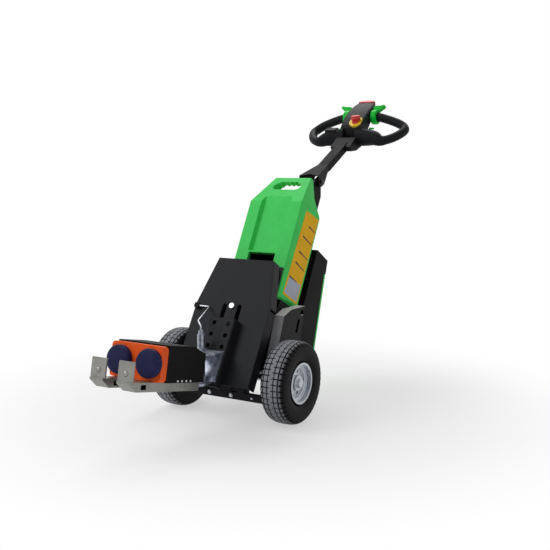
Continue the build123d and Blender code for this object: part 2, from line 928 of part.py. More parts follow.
# Handle head: housing below, lid above, both along the head's slope
head_plane = Plane(origin=at(0, head_near_y, head_near_z), x_dir=(1, 0, 0), z_dir=(0, -hs, hc))
with BuildPart() as head_housing:
    with BuildSketch(side_plane(0)):
        with BuildLine():
            Polyline(
                (arm_top_y, arm_top_z),
                on_head(head_brow_along, head_brow_over),
                on_head(0, head_brow_over),
                on_head(0, -head_lid),
                on_head(head_length, -head_lid),
                on_head(head_length - head_corner, -head_depth),
                on_head(0, -head_chin),
                (arm_top_y + arm_under_y, arm_top_z - arm_under_z),
                close=True,
            )
        make_face()
    extrude(amount=boss_half, both=True)
    with BuildSketch(head_plane.offset(-head_lid)):
        with BuildLine():
            Polyline((-head_tongue_half, 0), (0, -head_tongue), (head_tongue_half, 0), close=True)
        make_face()
    extrude(amount=2 * head_lid, mode=Mode.SUBTRACT)
save(head_housing, "head_housing")

with BuildPart() as head_lid_cover:
    with BuildSketch(head_plane.offset(-head_lid)):
        with BuildLine():
            Polyline(
                (-head_near_half, 0),
                (-head_tongue_half, 0),
                (0, -head_tongue),
                (head_tongue_half, 0),
                (head_near_half, 0),
                (head_far_half, head_length),
                (-head_far_half, head_length),
                close=True,
            )
        make_face()
    extrude(amount=head_lid)
    fillet(head_lid_cover.faces().sort_by(head_plane.location.z_axis)[-1].edges(), head_corner / 2)
save(head_lid_cover, "head_lid")

with BuildPart() as belly_switch:
    belly_plane = Plane(origin=at(0, *on_head(head_length, -head_lid / 2)), x_dir=(1, 0, 0), z_dir=(0, hc, hs))
    with BuildSketch(belly_plane):
        RectangleRounded(2 * boss_half, belly_depth, head_corner)
    extrude(amount=belly_height)
    fillet(belly_switch.faces().sort_by(belly_plane.location.z_axis)[-1].edges(), belly_edge)
save(belly_switch, "belly_switch")

# Emergency stop on the lid
with BuildPart() as estop_base:
    with BuildSketch(head_plane):
        with Locations((0, estop_along)):
            Circle(estop_base_radius)
    extrude(amount=estop_base_height)
save(estop_base, "estop_base")

with BuildPart() as estop_button:
    with BuildSketch(head_plane.offset(estop_base_height)):
        with Locations((0, estop_along)):
            Circle(estop_stem_radius)
    extrude(amount=estop_stem_height)
    with BuildSketch(head_plane.offset(estop_base_height + estop_stem_height)):
        with Locations((0, estop_along)):
            Circle(estop_cap_radius)
    extrude(amount=estop_cap_height)
    fillet(estop_button.edges().sort_by(head_plane.location.z_axis)[-1], estop_cap_height / 3)
save(estop_button, "estop_button")

handle_near_y = 797
handle_near_z = 884
handle_far_y = 912
handle_far_z = 988
loop_points = (
    (boss_half, handle_near_y, handle_near_z),
    (boss_half + 30, handle_near_y, handle_near_z),
    (132, 807, 892),
    (180, 842, 908),
    (199, 885, 930),
    (168, 906, 955),
    (90, 911, 984),
    (boss_half + thumb_width, handle_far_y, handle_far_z),
    (boss_half, handle_far_y, handle_far_z),
)

# Thumb wheels with their paddles, each round the far end of its handle tube
for side, sign in sides:
    thumb_plane = side_plane(sign * boss_half).shift_origin(at(sign * boss_half, handle_far_y, handle_far_z))
    with BuildPart() as thumb_wheel:
        with BuildSketch(thumb_plane):
            Circle(thumb_radius)
        extrude(amount=sign * thumb_width)
        fillet(thumb_wheel.edges(), head_corner / 2)
        paddle_y = handle_far_y + paddle_along * hc - paddle_over * hs
        paddle_z = handle_far_z + paddle_along * hs + paddle_over * hc
        paddle_plane = Plane(
            origin=at(sign * (boss_half + head_corner), paddle_y, paddle_z),
            x_dir=(0, hc, hs),
            z_dir=(sign, 0, 0),
        )
        with BuildSketch(paddle_plane):
            RectangleRounded(paddle_length, paddle_thick, paddle_thick / 3)
        extrude(amount=paddle_reach - boss_half - head_corner)
        with BuildSketch(thumb_plane):
            Circle(handle_tube / 2 + thumb_bore_gap)
        extrude(amount=sign * thumb_width, mode=Mode.SUBTRACT)
    save(thumb_wheel, f"thumb_wheel_{side}")

# Loop handle: one tube on each side of the head, drooping at the sides
for side, sign in sides:
    with BuildPart() as loop_handle:
        with BuildLine() as loop_line:
            loop_tangents = ((sign, 0, 0), (-sign, 0, 0))
            Spline(*[at(sign * x, y, z) for x, y, z in loop_points], tangents=loop_tangents)
        with BuildSketch(Plane(origin=loop_line.line @ 0, z_dir=loop_line.line % 0)):
            Circle(handle_tube / 2)
        sweep()
    save(loop_handle, f"loop_handle_{side}")

# Key and indicator panel beside the lid
with BuildPart() as key_panel:
    panel_y, panel_z = on_head(panel_along, -head_lid - panel_thick / 2)
    with BuildSketch(Plane(origin=at(-boss_half, panel_y, panel_z), x_dir=(0, hc, hs), z_dir=(-1, 0, 0))):
        with Locations((0, 0)):
            Rectangle(panel_height, panel_thick)
    extrude(amount=panel_width)
save(key_panel, "key_panel")

# Coupling frame: its own x runs forward along the pitched arm, its y runs up
coupler_rear = (coupler_rear_y, coupler_rear_z)


def arm_side(x):
    """A plane along the coupling arm at x, its own x forward and its y up."""
    return Plane(origin=at(x, *coupler_rear), x_dir=(0, -cp, sp), z_dir=(-1, 0, 0))


def arm_across(along):
    """A plane across the coupling arm that faces front, its own x to the right and y up."""
    return Plane(origin=at(0, *on_arm(along, 0)), x_dir=(1, 0, 0), z_dir=(0, -cp, sp))


with BuildPart() as coupling_arm:
    with BuildSketch(arm_side(0)):
        with BuildLine():
            Polyline(
                (0, 0),
                (coupler_length, 0),
                (coupler_length, coupler_height),
                (coupler_chamfer_along, coupler_height),
                (0, coupler_height - coupler_chamfer_rise),
                close=True,
            )
        make_face()
    extrude(amount=coupler_half, both=True)
    with BuildSketch(arm_side(0)):
        with BuildLine():
            Polyline(
                (sheet, -cut_over),
                (coupler_length - sheet, -cut_over),
                (coupler_length - sheet, coupler_height - sheet),
                (coupler_chamfer_along, coupler_height - sheet),
                (sheet, coupler_height - coupler_chamfer_rise - sheet),
                close=True,
            )
        make_face()
    extrude(amount=coupler_half - sheet, both=True, mode=Mode.SUBTRACT)
save(coupling_arm, "coupling_arm")

with BuildPart() as buffer_plate:
    with BuildSketch(arm_across(coupler_length)):
        with Locations((0, buffer_plate_height / 2)):
            RectangleRounded(2 * buffer_plate_half, buffer_plate_height, buffer_plate_corner)
    extrude(amount=buffer_plate_thick)
save(buffer_plate, "buffer_plate")

for side, sign in sides:
    with BuildPart() as rubber_buffer:
        with BuildSketch(arm_across(coupler_length + buffer_plate_thick)):
            with Locations((sign * buffer_x, buffer_up)):
                Circle(buffer_radius)
        extrude(amount=buffer_thick)
        fillet(rubber_buffer.edges().sort_by(Axis.Y)[0], buffer_edge)
    save(rubber_buffer, f"buffer_{side}")

    rail_mid = (rail_inner + rail_outer) / 2
    with BuildPart() as hook_rail:
        with BuildSketch(arm_side(sign * rail_mid)):
            with BuildLine():
                Polyline(
                    (rail_rear, 0),
                    (rail_front, 0),
                    (rail_front, -rail_height + rail_chamfer_rise),
                    (rail_front - rail_chamfer, -rail_height),
                    (rail_rear, -rail_height),
                    close=True,
                )
            make_face()
        extrude(amount=(rail_outer - rail_inner) / 2, both=True)
        with BuildSketch(arm_across(rail_rear)):
            with Locations((sign * rail_mid, -rail_height / 2)):
                Rectangle(rail_outer - rail_inner - 2 * rail_wall, rail_height - 2 * rail_wall)
        extrude(amount=rail_front - rail_rear - rail_chamfer, mode=Mode.SUBTRACT)
        with BuildSketch(arm_side(sign * rail_mid)):
            with Locations((rail_window_along, -rail_height / 2)):
                Rectangle(rail_window, rail_window_height)
        extrude(amount=rail_outer, both=True, mode=Mode.SUBTRACT)
    save(hook_rail, f"hook_rail_{side}")

    with BuildPart() as hook_plate:
        with BuildSketch(arm_across(hook_along)):
            with Locations((sign * (hook_inner + hook_outer) / 2, hook_height / 2)):
                RectangleRounded(hook_outer - hook_inner, hook_height, hook_corner)
        extrude(amount=hook_thick)
    save(hook_plate, f"hook_plate_{side}")

# Swivel knuckle: the barrel between the bracket's flanges and the neck to the arm
inner_low = bracket_low_z + bracket_sheet + running_gap
inner_high = bracket_high_z - bracket_sheet - running_gap
with BuildPart() as swivel_knuckle:
    with BuildSketch(Plane.XY.offset(inner_low)):
        with Locations((0, axle_y + swivel_y)):
            Circle(swivel_barrel_radius)
    extrude(amount=inner_high - inner_low)
    with BuildSketch(side_plane(0)):
        with BuildLine():
            Polyline(
                (swivel_y, inner_low + neck_low),
                (swivel_y, inner_high - neck_high),
                on_arm(0, coupler_height / 2),
                on_arm(0, 0),
                close=True,
            )
        make_face()
    extrude(amount=neck_half, both=True)
    with BuildSketch(Plane.XY.offset(bracket_low_z)):
        with Locations((0, axle_y + swivel_y)):
            Circle(swivel_pin_radius + fit_gap)
    extrude(amount=bracket_high_z - bracket_low_z, mode=Mode.SUBTRACT)
save(swivel_knuckle, "swivel_knuckle")

# Bracket on the channel: a web with two rounded flanges
with BuildPart() as coupling_bracket:
    bracket_top = bracket_high_z
    web_gap = plate_top_z - bracket_high_z
    with BuildSketch(Plane.XY.offset(bracket_low_z)):
        with Locations((0, axle_y + swivel_y)):
            Circle(bracket_nose)
        with Locations((0, axle_y + swivel_y / 2)):
            Rectangle(2 * bracket_nose, -swivel_y)
        with Locations((0, axle_y + swivel_y / 2 + bracket_nose)):
            Rectangle(2 * bracket_half, -swivel_y)
    extrude(amount=bracket_high_z - bracket_low_z)
    with BuildSketch(leaning_plane(0, *on_plate(0, channel_depth), plate_lean)):
        with Locations((0, -plate_length)):
            Rectangle(plate_length, 3 * plate_length)
    extrude(amount=-plate_length, mode=Mode.SUBTRACT)
    with BuildSketch(side_plane(0)):
        with BuildLine():
            web_out = channel_depth + bracket_sheet
            low_drop = (plate_top_z - bracket_low_z - bracket_sheet) / cos(radians(plate_lean))
            high_drop = (plate_top_z - bracket_high_z + bracket_sheet) / cos(radians(plate_lean))
            lean_share = tan(radians(plate_lean))
            web_low = bracket_low_z + bracket_sheet
            web_high = bracket_high_z - bracket_sheet
            web_y = plate_top_y - web_out / cos(radians(plate_lean))
            Polyline(
                (web_y - (plate_top_z - web_low) * lean_share, web_low),
                (web_y - (plate_top_z - web_high) * lean_share, web_high),
                (swivel_y - bracket_half, web_high),
                (swivel_y - bracket_half, web_low),
                close=True,
            )
        make_face()
    extrude(amount=bracket_half, both=True, mode=Mode.SUBTRACT)
    with BuildSketch(Plane.XY.offset(bracket_low_z)):
        with Locations((0, axle_y + swivel_y)):
            Circle(swivel_pin_radius)
    extrude(amount=bracket_high_z - bracket_low_z, mode=Mode.SUBTRACT)
save(coupling_bracket, "coupling_bracket")

with BuildPart() as swivel_pin:
    with BuildSketch(Plane.XY.offset(bracket_low_z)):
        with Locations((0, axle_y + swivel_y)):
            Circle(swivel_pin_radius)
    extrude(amount=bracket_high_z - bracket_low_z)
    with BuildSketch(Plane.XY.offset(bracket_high_z)):
        with Locations((0, axle_y + swivel_y)):
            Circle(swivel_pin_head_radius)
    extrude(amount=swivel_pin_head)
save(swivel_pin, "swivel_pin")

# Lock plunger on the bracket, pulled by a wire from a clip at the plate's edge
plunger_top = bracket_high_z + plunger_base + plunger_height
with BuildPart() as lock_plunger:
    with BuildSketch(Plane.XY.offset(bracket_high_z)):
        with Locations((plunger_x, axle_y + plunger_y)):
            RectangleRounded(2 * plunger_radius, 2 * plunger_radius, hook_corner)
    extrude(amount=plunger_base)
    with BuildSketch(Plane.XY.offset(bracket_high_z + plunger_base)):
        with Locations((plunger_x, axle_y + plunger_y)):
            Circle(plunger_radius)
    extrude(amount=plunger_height)
    with BuildSketch(Plane.XY.offset(plunger_top)):
        with Locations((plunger_x, axle_y + plunger_y)):
            Circle(plunger_cap_radius)
    extrude(amount=plunger_cap)
save(lock_plunger, "lock_plunger")

clip_plane = leaning_plane(clip_x, *on_plate(clip_drop, 0), plate_lean)
with BuildPart() as wire_clip:
    with BuildSketch(clip_plane):
        RectangleRounded(clip_size, clip_size, hook_corner)
    extrude(amount=clip_height)
save(wire_clip, "wire_clip")

clip_y, clip_z = on_plate(clip_drop, clip_height / 2)
wire_end_z = plunger_top + plunger_cap
wire_points = (
    at(clip_x + clip_size / 2, clip_y, clip_z),
    at(clip_x + 3 * clip_size, clip_y, clip_z),
    at(plunger_x - clip_size, plunger_y + clip_size / 2, wire_end_z + 2 * clip_height),
    at(plunger_x, plunger_y, wire_end_z + clip_height),
    at(plunger_x, plunger_y, wire_end_z),
)
with BuildPart() as release_wire:
    with BuildLine() as wire_line:
        FilletPolyline(*wire_points, radius=4 * wire_radius)
    with BuildSketch(Plane(origin=wire_line.line @ 0, z_dir=wire_line.line % 0)):
        Circle(wire_radius)
    sweep()
save(release_wire, "release_wire")
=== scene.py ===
"""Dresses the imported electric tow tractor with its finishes, tread, fasteners and label."""

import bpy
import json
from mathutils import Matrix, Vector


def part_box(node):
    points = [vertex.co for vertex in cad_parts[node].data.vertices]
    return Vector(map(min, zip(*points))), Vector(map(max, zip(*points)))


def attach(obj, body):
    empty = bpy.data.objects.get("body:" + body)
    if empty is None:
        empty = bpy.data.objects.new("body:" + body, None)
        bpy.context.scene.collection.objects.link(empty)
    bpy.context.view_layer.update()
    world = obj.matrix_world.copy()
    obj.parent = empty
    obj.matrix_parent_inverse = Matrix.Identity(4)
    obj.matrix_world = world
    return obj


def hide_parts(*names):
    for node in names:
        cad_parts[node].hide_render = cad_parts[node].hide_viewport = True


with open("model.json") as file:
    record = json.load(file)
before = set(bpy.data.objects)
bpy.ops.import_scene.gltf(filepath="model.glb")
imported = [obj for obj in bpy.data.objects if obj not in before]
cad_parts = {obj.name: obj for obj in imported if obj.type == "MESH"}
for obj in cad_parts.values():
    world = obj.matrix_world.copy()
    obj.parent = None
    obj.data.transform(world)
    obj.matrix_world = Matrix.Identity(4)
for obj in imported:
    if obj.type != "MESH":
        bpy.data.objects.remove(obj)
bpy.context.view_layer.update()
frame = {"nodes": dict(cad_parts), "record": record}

import json
import math

import bmesh
import bpy
import numpy as np
from mathutils import Matrix, Vector

bl_info = {
    "name": "Electric tow tractor",
    "version": (1, 0, 0),
    "blender": (4, 5, 0),
    "location": "View3D > Sidebar > Tug",
    "description": "Finishes, tread, fasteners and studio for the packed tow tractor",
    "category": "Object",
}

MM = 0.001
SIDES = (("left", -1), ("right", 1))
ACROSS, UPRIGHT = (1, 0, 0), (0, 0, 1)
# leans and slopes in degrees
BATTERY_LEAN, COUPLING_PITCH, HEAD_SLOPE, ARM_SLOPE = 28, 11.5, 33.7, 28.4
# places (y, z) in millimetres from the drive axle and the ground
BATTERY_FOOT, COUPLING_ROOT = (91, 373), (-297, 177)
LID_END, TUBE_END = (808, 948), (912, 988)
FORK_KNEE, PIVOT = (588.7, 800.5), (503, 739)
# points nearer than this many metres are joined before edges are rounded
WELD = 0.00002
# how far roughness strays from its middle value
ROUGHNESS_SPREAD = 0.08


def node_box(name):
    """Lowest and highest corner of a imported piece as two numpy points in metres."""
    low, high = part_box(name)
    return np.array(low), np.array(high)


rim_low, rim_high = node_box("rim_right")
AXLE_Y, AXLE_Z = (float(value) for value in ((rim_low + rim_high) / 2)[1:])
tyre_low, tyre_high = node_box("tyre_right")
TYRE_R = float(tyre_high[2] - tyre_low[2]) / 2
TYRE_X = float(tyre_low[0] + tyre_high[0]) / 2
TYRE_HALF = float(tyre_high[0] - tyre_low[0]) / 2


def at(x, y, z):
    """A point, or an array of them, in metres from millimetres, its y measured from the drive axle."""
    return np.stack(np.broadcast_arrays(x * MM, AXLE_Y + y * MM, z * MM), -1)


def mm(*rows):
    """Rows of millimetres as one array in metres."""
    return np.array(rows, float) * MM


def cos_sin(degrees):
    """Cosine and sine of an angle in degrees."""
    return math.cos(math.radians(degrees)), math.sin(math.radians(degrees))


def lean_axes(degrees):
    """Across, up and front directions of a face that leans back by so many degrees."""
    c, s = cos_sin(degrees)
    return np.array((1.0, 0, 0)), np.array((0, s, c)), np.array((0, -c, s))


def rising(degrees):
    """The direction to the rear that climbs by so many degrees."""
    return np.array((0, *cos_sin(degrees)))


def mesh_of(name, points, faces):
    """A mesh from an array of points and a list or array of faces."""
    mesh = bpy.data.meshes.new(name)
    mesh.from_pydata(np.asarray(points, float).reshape(-1, 3).tolist(), [], [list(map(int, f)) for f in faces])
    return mesh


def put_mesh(name, points, faces, body, slot, smooth_angle=35, finish=None):
    """Makes one piece from points and faces, seated on its body, with its slot's finish or another."""
    mesh = mesh_of(name, points, faces)
    mesh.validate()
    mesh.update()
    mesh.shade_smooth()
    mesh.set_sharp_from_angle(angle=math.radians(smooth_angle))
    piece = bpy.data.objects.new(name, mesh)
    bpy.context.scene.collection.objects.link(piece)
    mesh.materials.append(finishes()[finish or slot])
    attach(piece, body)
    return piece


def grid_faces(rows, columns, close_rows=False, close_columns=False):
    """Quads between neighbours of a rows by columns grid, joined round where a way is closed."""
    r = np.arange(rows if close_rows else rows - 1)
    c = np.arange(columns if close_columns else columns - 1)
    a, b = np.meshgrid(r, c, indexing="ij")
    a2, b2 = (a + 1) % rows, (b + 1) % columns
    quads = np.stack((a * columns + b, a2 * columns + b, a2 * columns + b2, a * columns + b2), -1)
    return quads.reshape(-1, 4)


def closed_turn(profile, centre, axis, across, turns, loop=False):
    """Points and faces of a solid turned from (along the axis, radius) pairs in equal steps. The profile
    starts and ends on the axis, or is a closed loop."""
    profile = np.asarray(profile, float)
    axis = np.asarray(axis, float) / np.linalg.norm(axis)
    across = np.asarray(across, float)
    across = across - axis * across.dot(axis)
    across /= np.linalg.norm(across)
    other = np.cross(axis, across)
    angle = np.linspace(0, 2 * math.pi, turns, endpoint=False)[:, None, None]
    ring = np.cos(angle) * across + np.sin(angle) * other
    points = np.asarray(centre) + profile[None, :, :1] * axis + profile[None, :, 1:] * ring
    return points.reshape(-1, 3), grid_faces(*points.shape[:2], True, loop)[:, ::-1]


def merge(parts):
    """Joins several (points, faces) pairs into one pair."""
    points, faces, start = [], [], 0
    for p, f in parts:
        p = np.asarray(p, float).reshape(-1, 3)
        points.append(p)
        faces += [[int(i) + start for i in face] for face in f]
        start += len(p)
    return np.concatenate(points), faces


def block_faces(n):
    """Faces of a closed block whose points are one ring of n and then the opposite ring of n."""
    i = np.arange(n)
    walls = np.stack((i, (i + 1) % n, (i + 1) % n + n, i + n), -1).tolist()
    return walls + [list(range(n))[::-1], list(range(n, 2 * n))]


def prism(outline, low, high, origin, x_dir, y_dir):
    """A closed block: a flat outline carried from low to high along the normal of its plane."""
    outline = np.asarray(outline, float)
    x_dir, y_dir = np.asarray(x_dir, float), np.asarray(y_dir, float)
    normal = np.cross(x_dir, y_dir)
    flat = np.asarray(origin) + outline[:, :1] * x_dir + outline[:, 1:] * y_dir
    return np.concatenate((flat + low * normal, flat + high * normal)), block_faces(len(outline))


def rounded(half_w, half_h, radius):
    """A rectangle's outline with round corners of five points each, centred on zero."""
    angles = np.linspace(0, math.pi / 2, 5)
    corner = np.stack((np.cos(angles), np.sin(angles)), -1) * radius
    out = []
    for turn, (sx, sy) in enumerate(((1, 1), (-1, 1), (-1, -1), (1, -1))):
        c, s = math.cos(turn * math.pi / 2), math.sin(turn * math.pi / 2)
        spun = corner @ np.array(((c, s), (-s, c)))
        out.append(spun + (sx * (half_w - radius), sy * (half_h - radius)))
    return np.concatenate(out)


def bolt(centre, normal, radius, height, kind):
    """A fastener's head on a surface, sunk in by a tenth of its height: a washer ring with a hexagon where
    kind is hex, or a dome."""
    normal = np.asarray(normal, float) / np.linalg.norm(normal)
    across = np.cross(normal, (0.31, 0.72, 0.62))
    tenth = 0.1 * height
    if kind == "dome":
        t = np.linspace(0, math.pi / 2, 7)
        profile = np.stack((np.sin(t)[::-1] * height, np.cos(t)[::-1] * radius), -1)[::-1]
        profile = np.concatenate(([[-tenth, 0]], profile[:1] - (tenth, 0), profile))
        profile[-1, 1] = 0
        return closed_turn(profile, centre, normal, across, 20)
    washer_r, washer_top = radius * 1.28, 0.22 * height
    washer = [(-tenth, 0), (-tenth, washer_r), (washer_top, washer_r), (washer_top, 0)]
    head = [(tenth, 0), (tenth, radius), (0.92 * height, radius), (height, radius * 0.88), (height, 0)]
    return merge((closed_turn(washer, centre, normal, across, 20), closed_turn(head, centre, normal, across, 6)))


def solid(points_faces):
    """A loose object from a (points, faces) pair, its faces turned outward, for shaping only."""
    mesh = mesh_of("shape", *points_faces)
    shape = bmesh.new()
    shape.from_mesh(mesh)
    bmesh.ops.recalc_face_normals(shape, faces=shape.faces)
    shape.to_mesh(mesh)
    shape.free()
    holder = bpy.data.objects.new("shape", mesh)
    bpy.context.scene.collection.objects.link(holder)
    return holder


def round_edges(item, width_mm, segments, degrees):
    """Joins near points, then rounds the edges that turn by more than so many degrees, by modifiers."""
    item.modifiers.new("weld", "WELD").merge_threshold = WELD
    edge = item.modifiers.new("edge", "BEVEL")
    edge.width, edge.segments = width_mm * MM, segments
    edge.limit_method, edge.angle_limit = "ANGLE", math.radians(degrees)


def keep_flat(piece):
    """Shades a piece's broad faces flat beside its rounded edges."""
    level = piece.modifiers.new("flat faces", "WEIGHTED_NORMAL")
    level.keep_sharp, level.weight = True, 60


def soften(piece, width_mm, segments=2, degrees=35):
    """Rounds a piece's sharp edges and keeps its broad faces flat."""
    round_edges(piece, width_mm, segments, degrees)
    keep_flat(piece)


def carve(base, steps=()):
    """Points and faces of a base, its faces turned outward, after each (DIFFERENCE, UNION or INTERSECT,
    shape) step, or each (BEVEL, width) step, which rounds the sharp edges made so far."""
    held = solid(base)
    tools = []
    for way, shape in steps:
        if way == "BEVEL":
            round_edges(held, shape, 4, 18)
            continue
        tools.append(solid(shape))
        cut = held.modifiers.new(way, "BOOLEAN")
        cut.operation, cut.object, cut.solver = way, tools[-1], "EXACT"
    graph = bpy.context.evaluated_depsgraph_get()
    mesh = bpy.data.meshes.new_from_object(held.evaluated_get(graph))
    points = np.array([v.co[:] for v in mesh.vertices])
    faces = [list(p.vertices) for p in mesh.polygons]
    for item in [held] + tools:
        bpy.data.objects.remove(item)
    return points, faces


def side_prism(outline, x_low, x_high):
    """A block from a (y, z) outline in millimetres from axle and ground, between two x places."""
    return prism(mm(*outline), x_low * MM, x_high * MM, at(0, 0, 0), (0, 1, 0), UPRIGHT)


def both_sides(points_faces):
    """A pair of (points, faces) and its mirror image across the middle plane."""
    points, faces = points_faces
    other = np.asarray(points, float).reshape(-1, 3) * (-1, 1, 1)
    return merge(((points, faces), (other, [list(f)[::-1] for f in faces])))


def linear(hex_colour):
    """An sRGB hex colour as linear red, green, blue and one."""
    values = [int(hex_colour[i:i + 2], 16) / 255 for i in (1, 3, 5)]
    return [v / 12.92 if v <= 0.04045 else ((v + 0.055) / 1.055) ** 2.4 for v in values] + [1.0]


def add(tree, kind, links=None, **settings):
    """Adds a node, sets its properties or input values by name, and links its inputs from sockets."""
    node = tree.nodes.new(kind)
    for key, value in settings.items():
        if key.startswith("in_"):
            node.inputs[key[3:].replace("_", " ")].default_value = value
        else:
            setattr(node, key, value)
    for socket, source in (links or {}).items():
        tree.links.new(source, node.inputs[socket])
    return node


def maths(tree, operation, *values, kind="ShaderNodeMath"):
    """A math node's result, its inputs taken from sockets or plain values in order."""
    node = add(tree, kind, operation=operation)
    for place, value in enumerate(values):
        if isinstance(value, bpy.types.NodeSocket):
            tree.links.new(value, node.inputs[place])
        else:
            node.inputs[place].default_value = value
    return node.outputs["Value" if operation == "LENGTH" else 0]


def tone_over(tree, below, share, hex_colour):
    """A colour with a second tone laid over it by a share."""
    over = add(tree, "ShaderNodeMix", {"Factor": share, 6: below}, data_type="RGBA")
    over.inputs[7].default_value = linear(hex_colour)
    return over.outputs[2]


def cleared_tree(holder):
    """The emptied node tree of a material or a world."""
    holder.use_nodes = True
    holder.node_tree.nodes.clear()
    return holder.node_tree


MATERIALS = {}


def finish_of(name, colour, dark, roughness, grain_mm, bump, metallic=0.0, colour_mm=60, shine=0.08, faced=None,
              brushed=None, crown=None):
    """A surface of one real finish: two close tones in soft clouds, a fine grain in the bump and roughness
    that varies a little. Over these, further tones may be painted on as highlights: one on faces that look up and
    one on faces that look to the front, and crown, a painted highlight on a tyre's tread; brushed gives the grain's
    scale along each axis."""
    if name in MATERIALS:
        return MATERIALS[name]
    material = bpy.data.materials.new(name)
    tree = cleared_tree(material)
    out = add(tree, "ShaderNodeOutputMaterial")
    shader = add(tree, "ShaderNodeBsdfPrincipled", in_Metallic=metallic)
    tree.links.new(shader.outputs[0], out.inputs[0])
    where = add(tree, "ShaderNodeTexCoord").outputs["Object"]
    grain_where = where
    if brushed:
        grain_where = add(tree, "ShaderNodeMapping", {"Vector": where}, in_Scale=brushed).outputs[0]
    clouds = add(tree, "ShaderNodeTexNoise", {"Vector": where}, in_Scale=1000 / colour_mm, in_Detail=4.0,
                 in_Roughness=0.55)
    tone = add(tree, "ShaderNodeValToRGB", {"Fac": clouds.outputs["Fac"]})
    for stop, place, tone_hex in zip(tone.color_ramp.elements, (0.3, 0.7), (dark, colour)):
        stop.position, stop.color = place, linear(tone_hex)
    colour_out = tone.outputs["Color"]
    if crown or faced:
        normal = add(tree, "ShaderNodeNewGeometry").outputs["Normal"]
        facing = add(tree, "ShaderNodeSeparateXYZ", {"Vector": normal}).outputs
    if crown:
        # painted highlight on the tread: faces that look away from the axle, and of them only the blocks' tops, not
        # the slits' bottoms, are made paler
        aside = maths(tree, "ABSOLUTE", facing["X"])
        share = add(tree, "ShaderNodeMapRange", {"Value": aside}, in_From_Min=0.8, in_From_Max=0.4)
        spoke = maths(tree, "SUBTRACT", where, (0, AXLE_Y, AXLE_Z), kind="ShaderNodeVectorMath")
        spoke = maths(tree, "MULTIPLY", spoke, (0, 1, 1), kind="ShaderNodeVectorMath")
        reach = maths(tree, "LENGTH", spoke, kind="ShaderNodeVectorMath")
        high = add(tree, "ShaderNodeMapRange", {"Value": reach}, in_From_Min=TYRE_R - 0.0075,
                   in_From_Max=TYRE_R - 0.003)
        share = maths(tree, "MULTIPLY", share.outputs["Result"], high.outputs["Result"])
        colour_out = tone_over(tree, colour_out, share, crown)
    if faced:
        spot = add(tree, "ShaderNodeSeparateXYZ", {"Vector": where}).outputs
        # painted highlights: faces that look up turn near white and faces that look to the front pale grey; the
        # second tone keeps to the outer front face, so slots and holes behind it stay dark
        for axis, sign, tone_hex, middle in (("Z", 1, faced[0], 0.5), ("Y", -1, faced[1], AXLE_Y - 0.11)):
            turned_to = maths(tree, "MULTIPLY", facing[axis], sign)
            share = add(tree, "ShaderNodeMapRange", {"Value": turned_to}, in_From_Min=0.6, in_From_Max=0.75)
            clear = maths(tree, "COMPARE", spot[axis], middle, 0.2)
            share = maths(tree, "MULTIPLY", share.outputs["Result"], clear)
            colour_out = tone_over(tree, colour_out, share, tone_hex)
    tree.links.new(colour_out, shader.inputs["Base Color"])
    grain = add(tree, "ShaderNodeTexNoise", {"Vector": grain_where}, in_Scale=1000 / grain_mm, in_Detail=3.0)
    rough = add(tree, "ShaderNodeMapRange", {"Value": clouds.outputs["Fac"]},
                in_To_Min=roughness - ROUGHNESS_SPREAD, in_To_Max=roughness + ROUGHNESS_SPREAD)
    tree.links.new(rough.outputs["Result"], shader.inputs["Roughness"])
    relief = add(tree, "ShaderNodeBump", {"Height": grain.outputs["Fac"]}, in_Strength=bump, in_Distance=0.0004)
    tree.links.new(relief.outputs["Normal"], shader.inputs["Normal"])
    if metallic == 0:
        shader.inputs["Specular IOR Level"].default_value = shine
    MATERIALS[name] = material
    return material


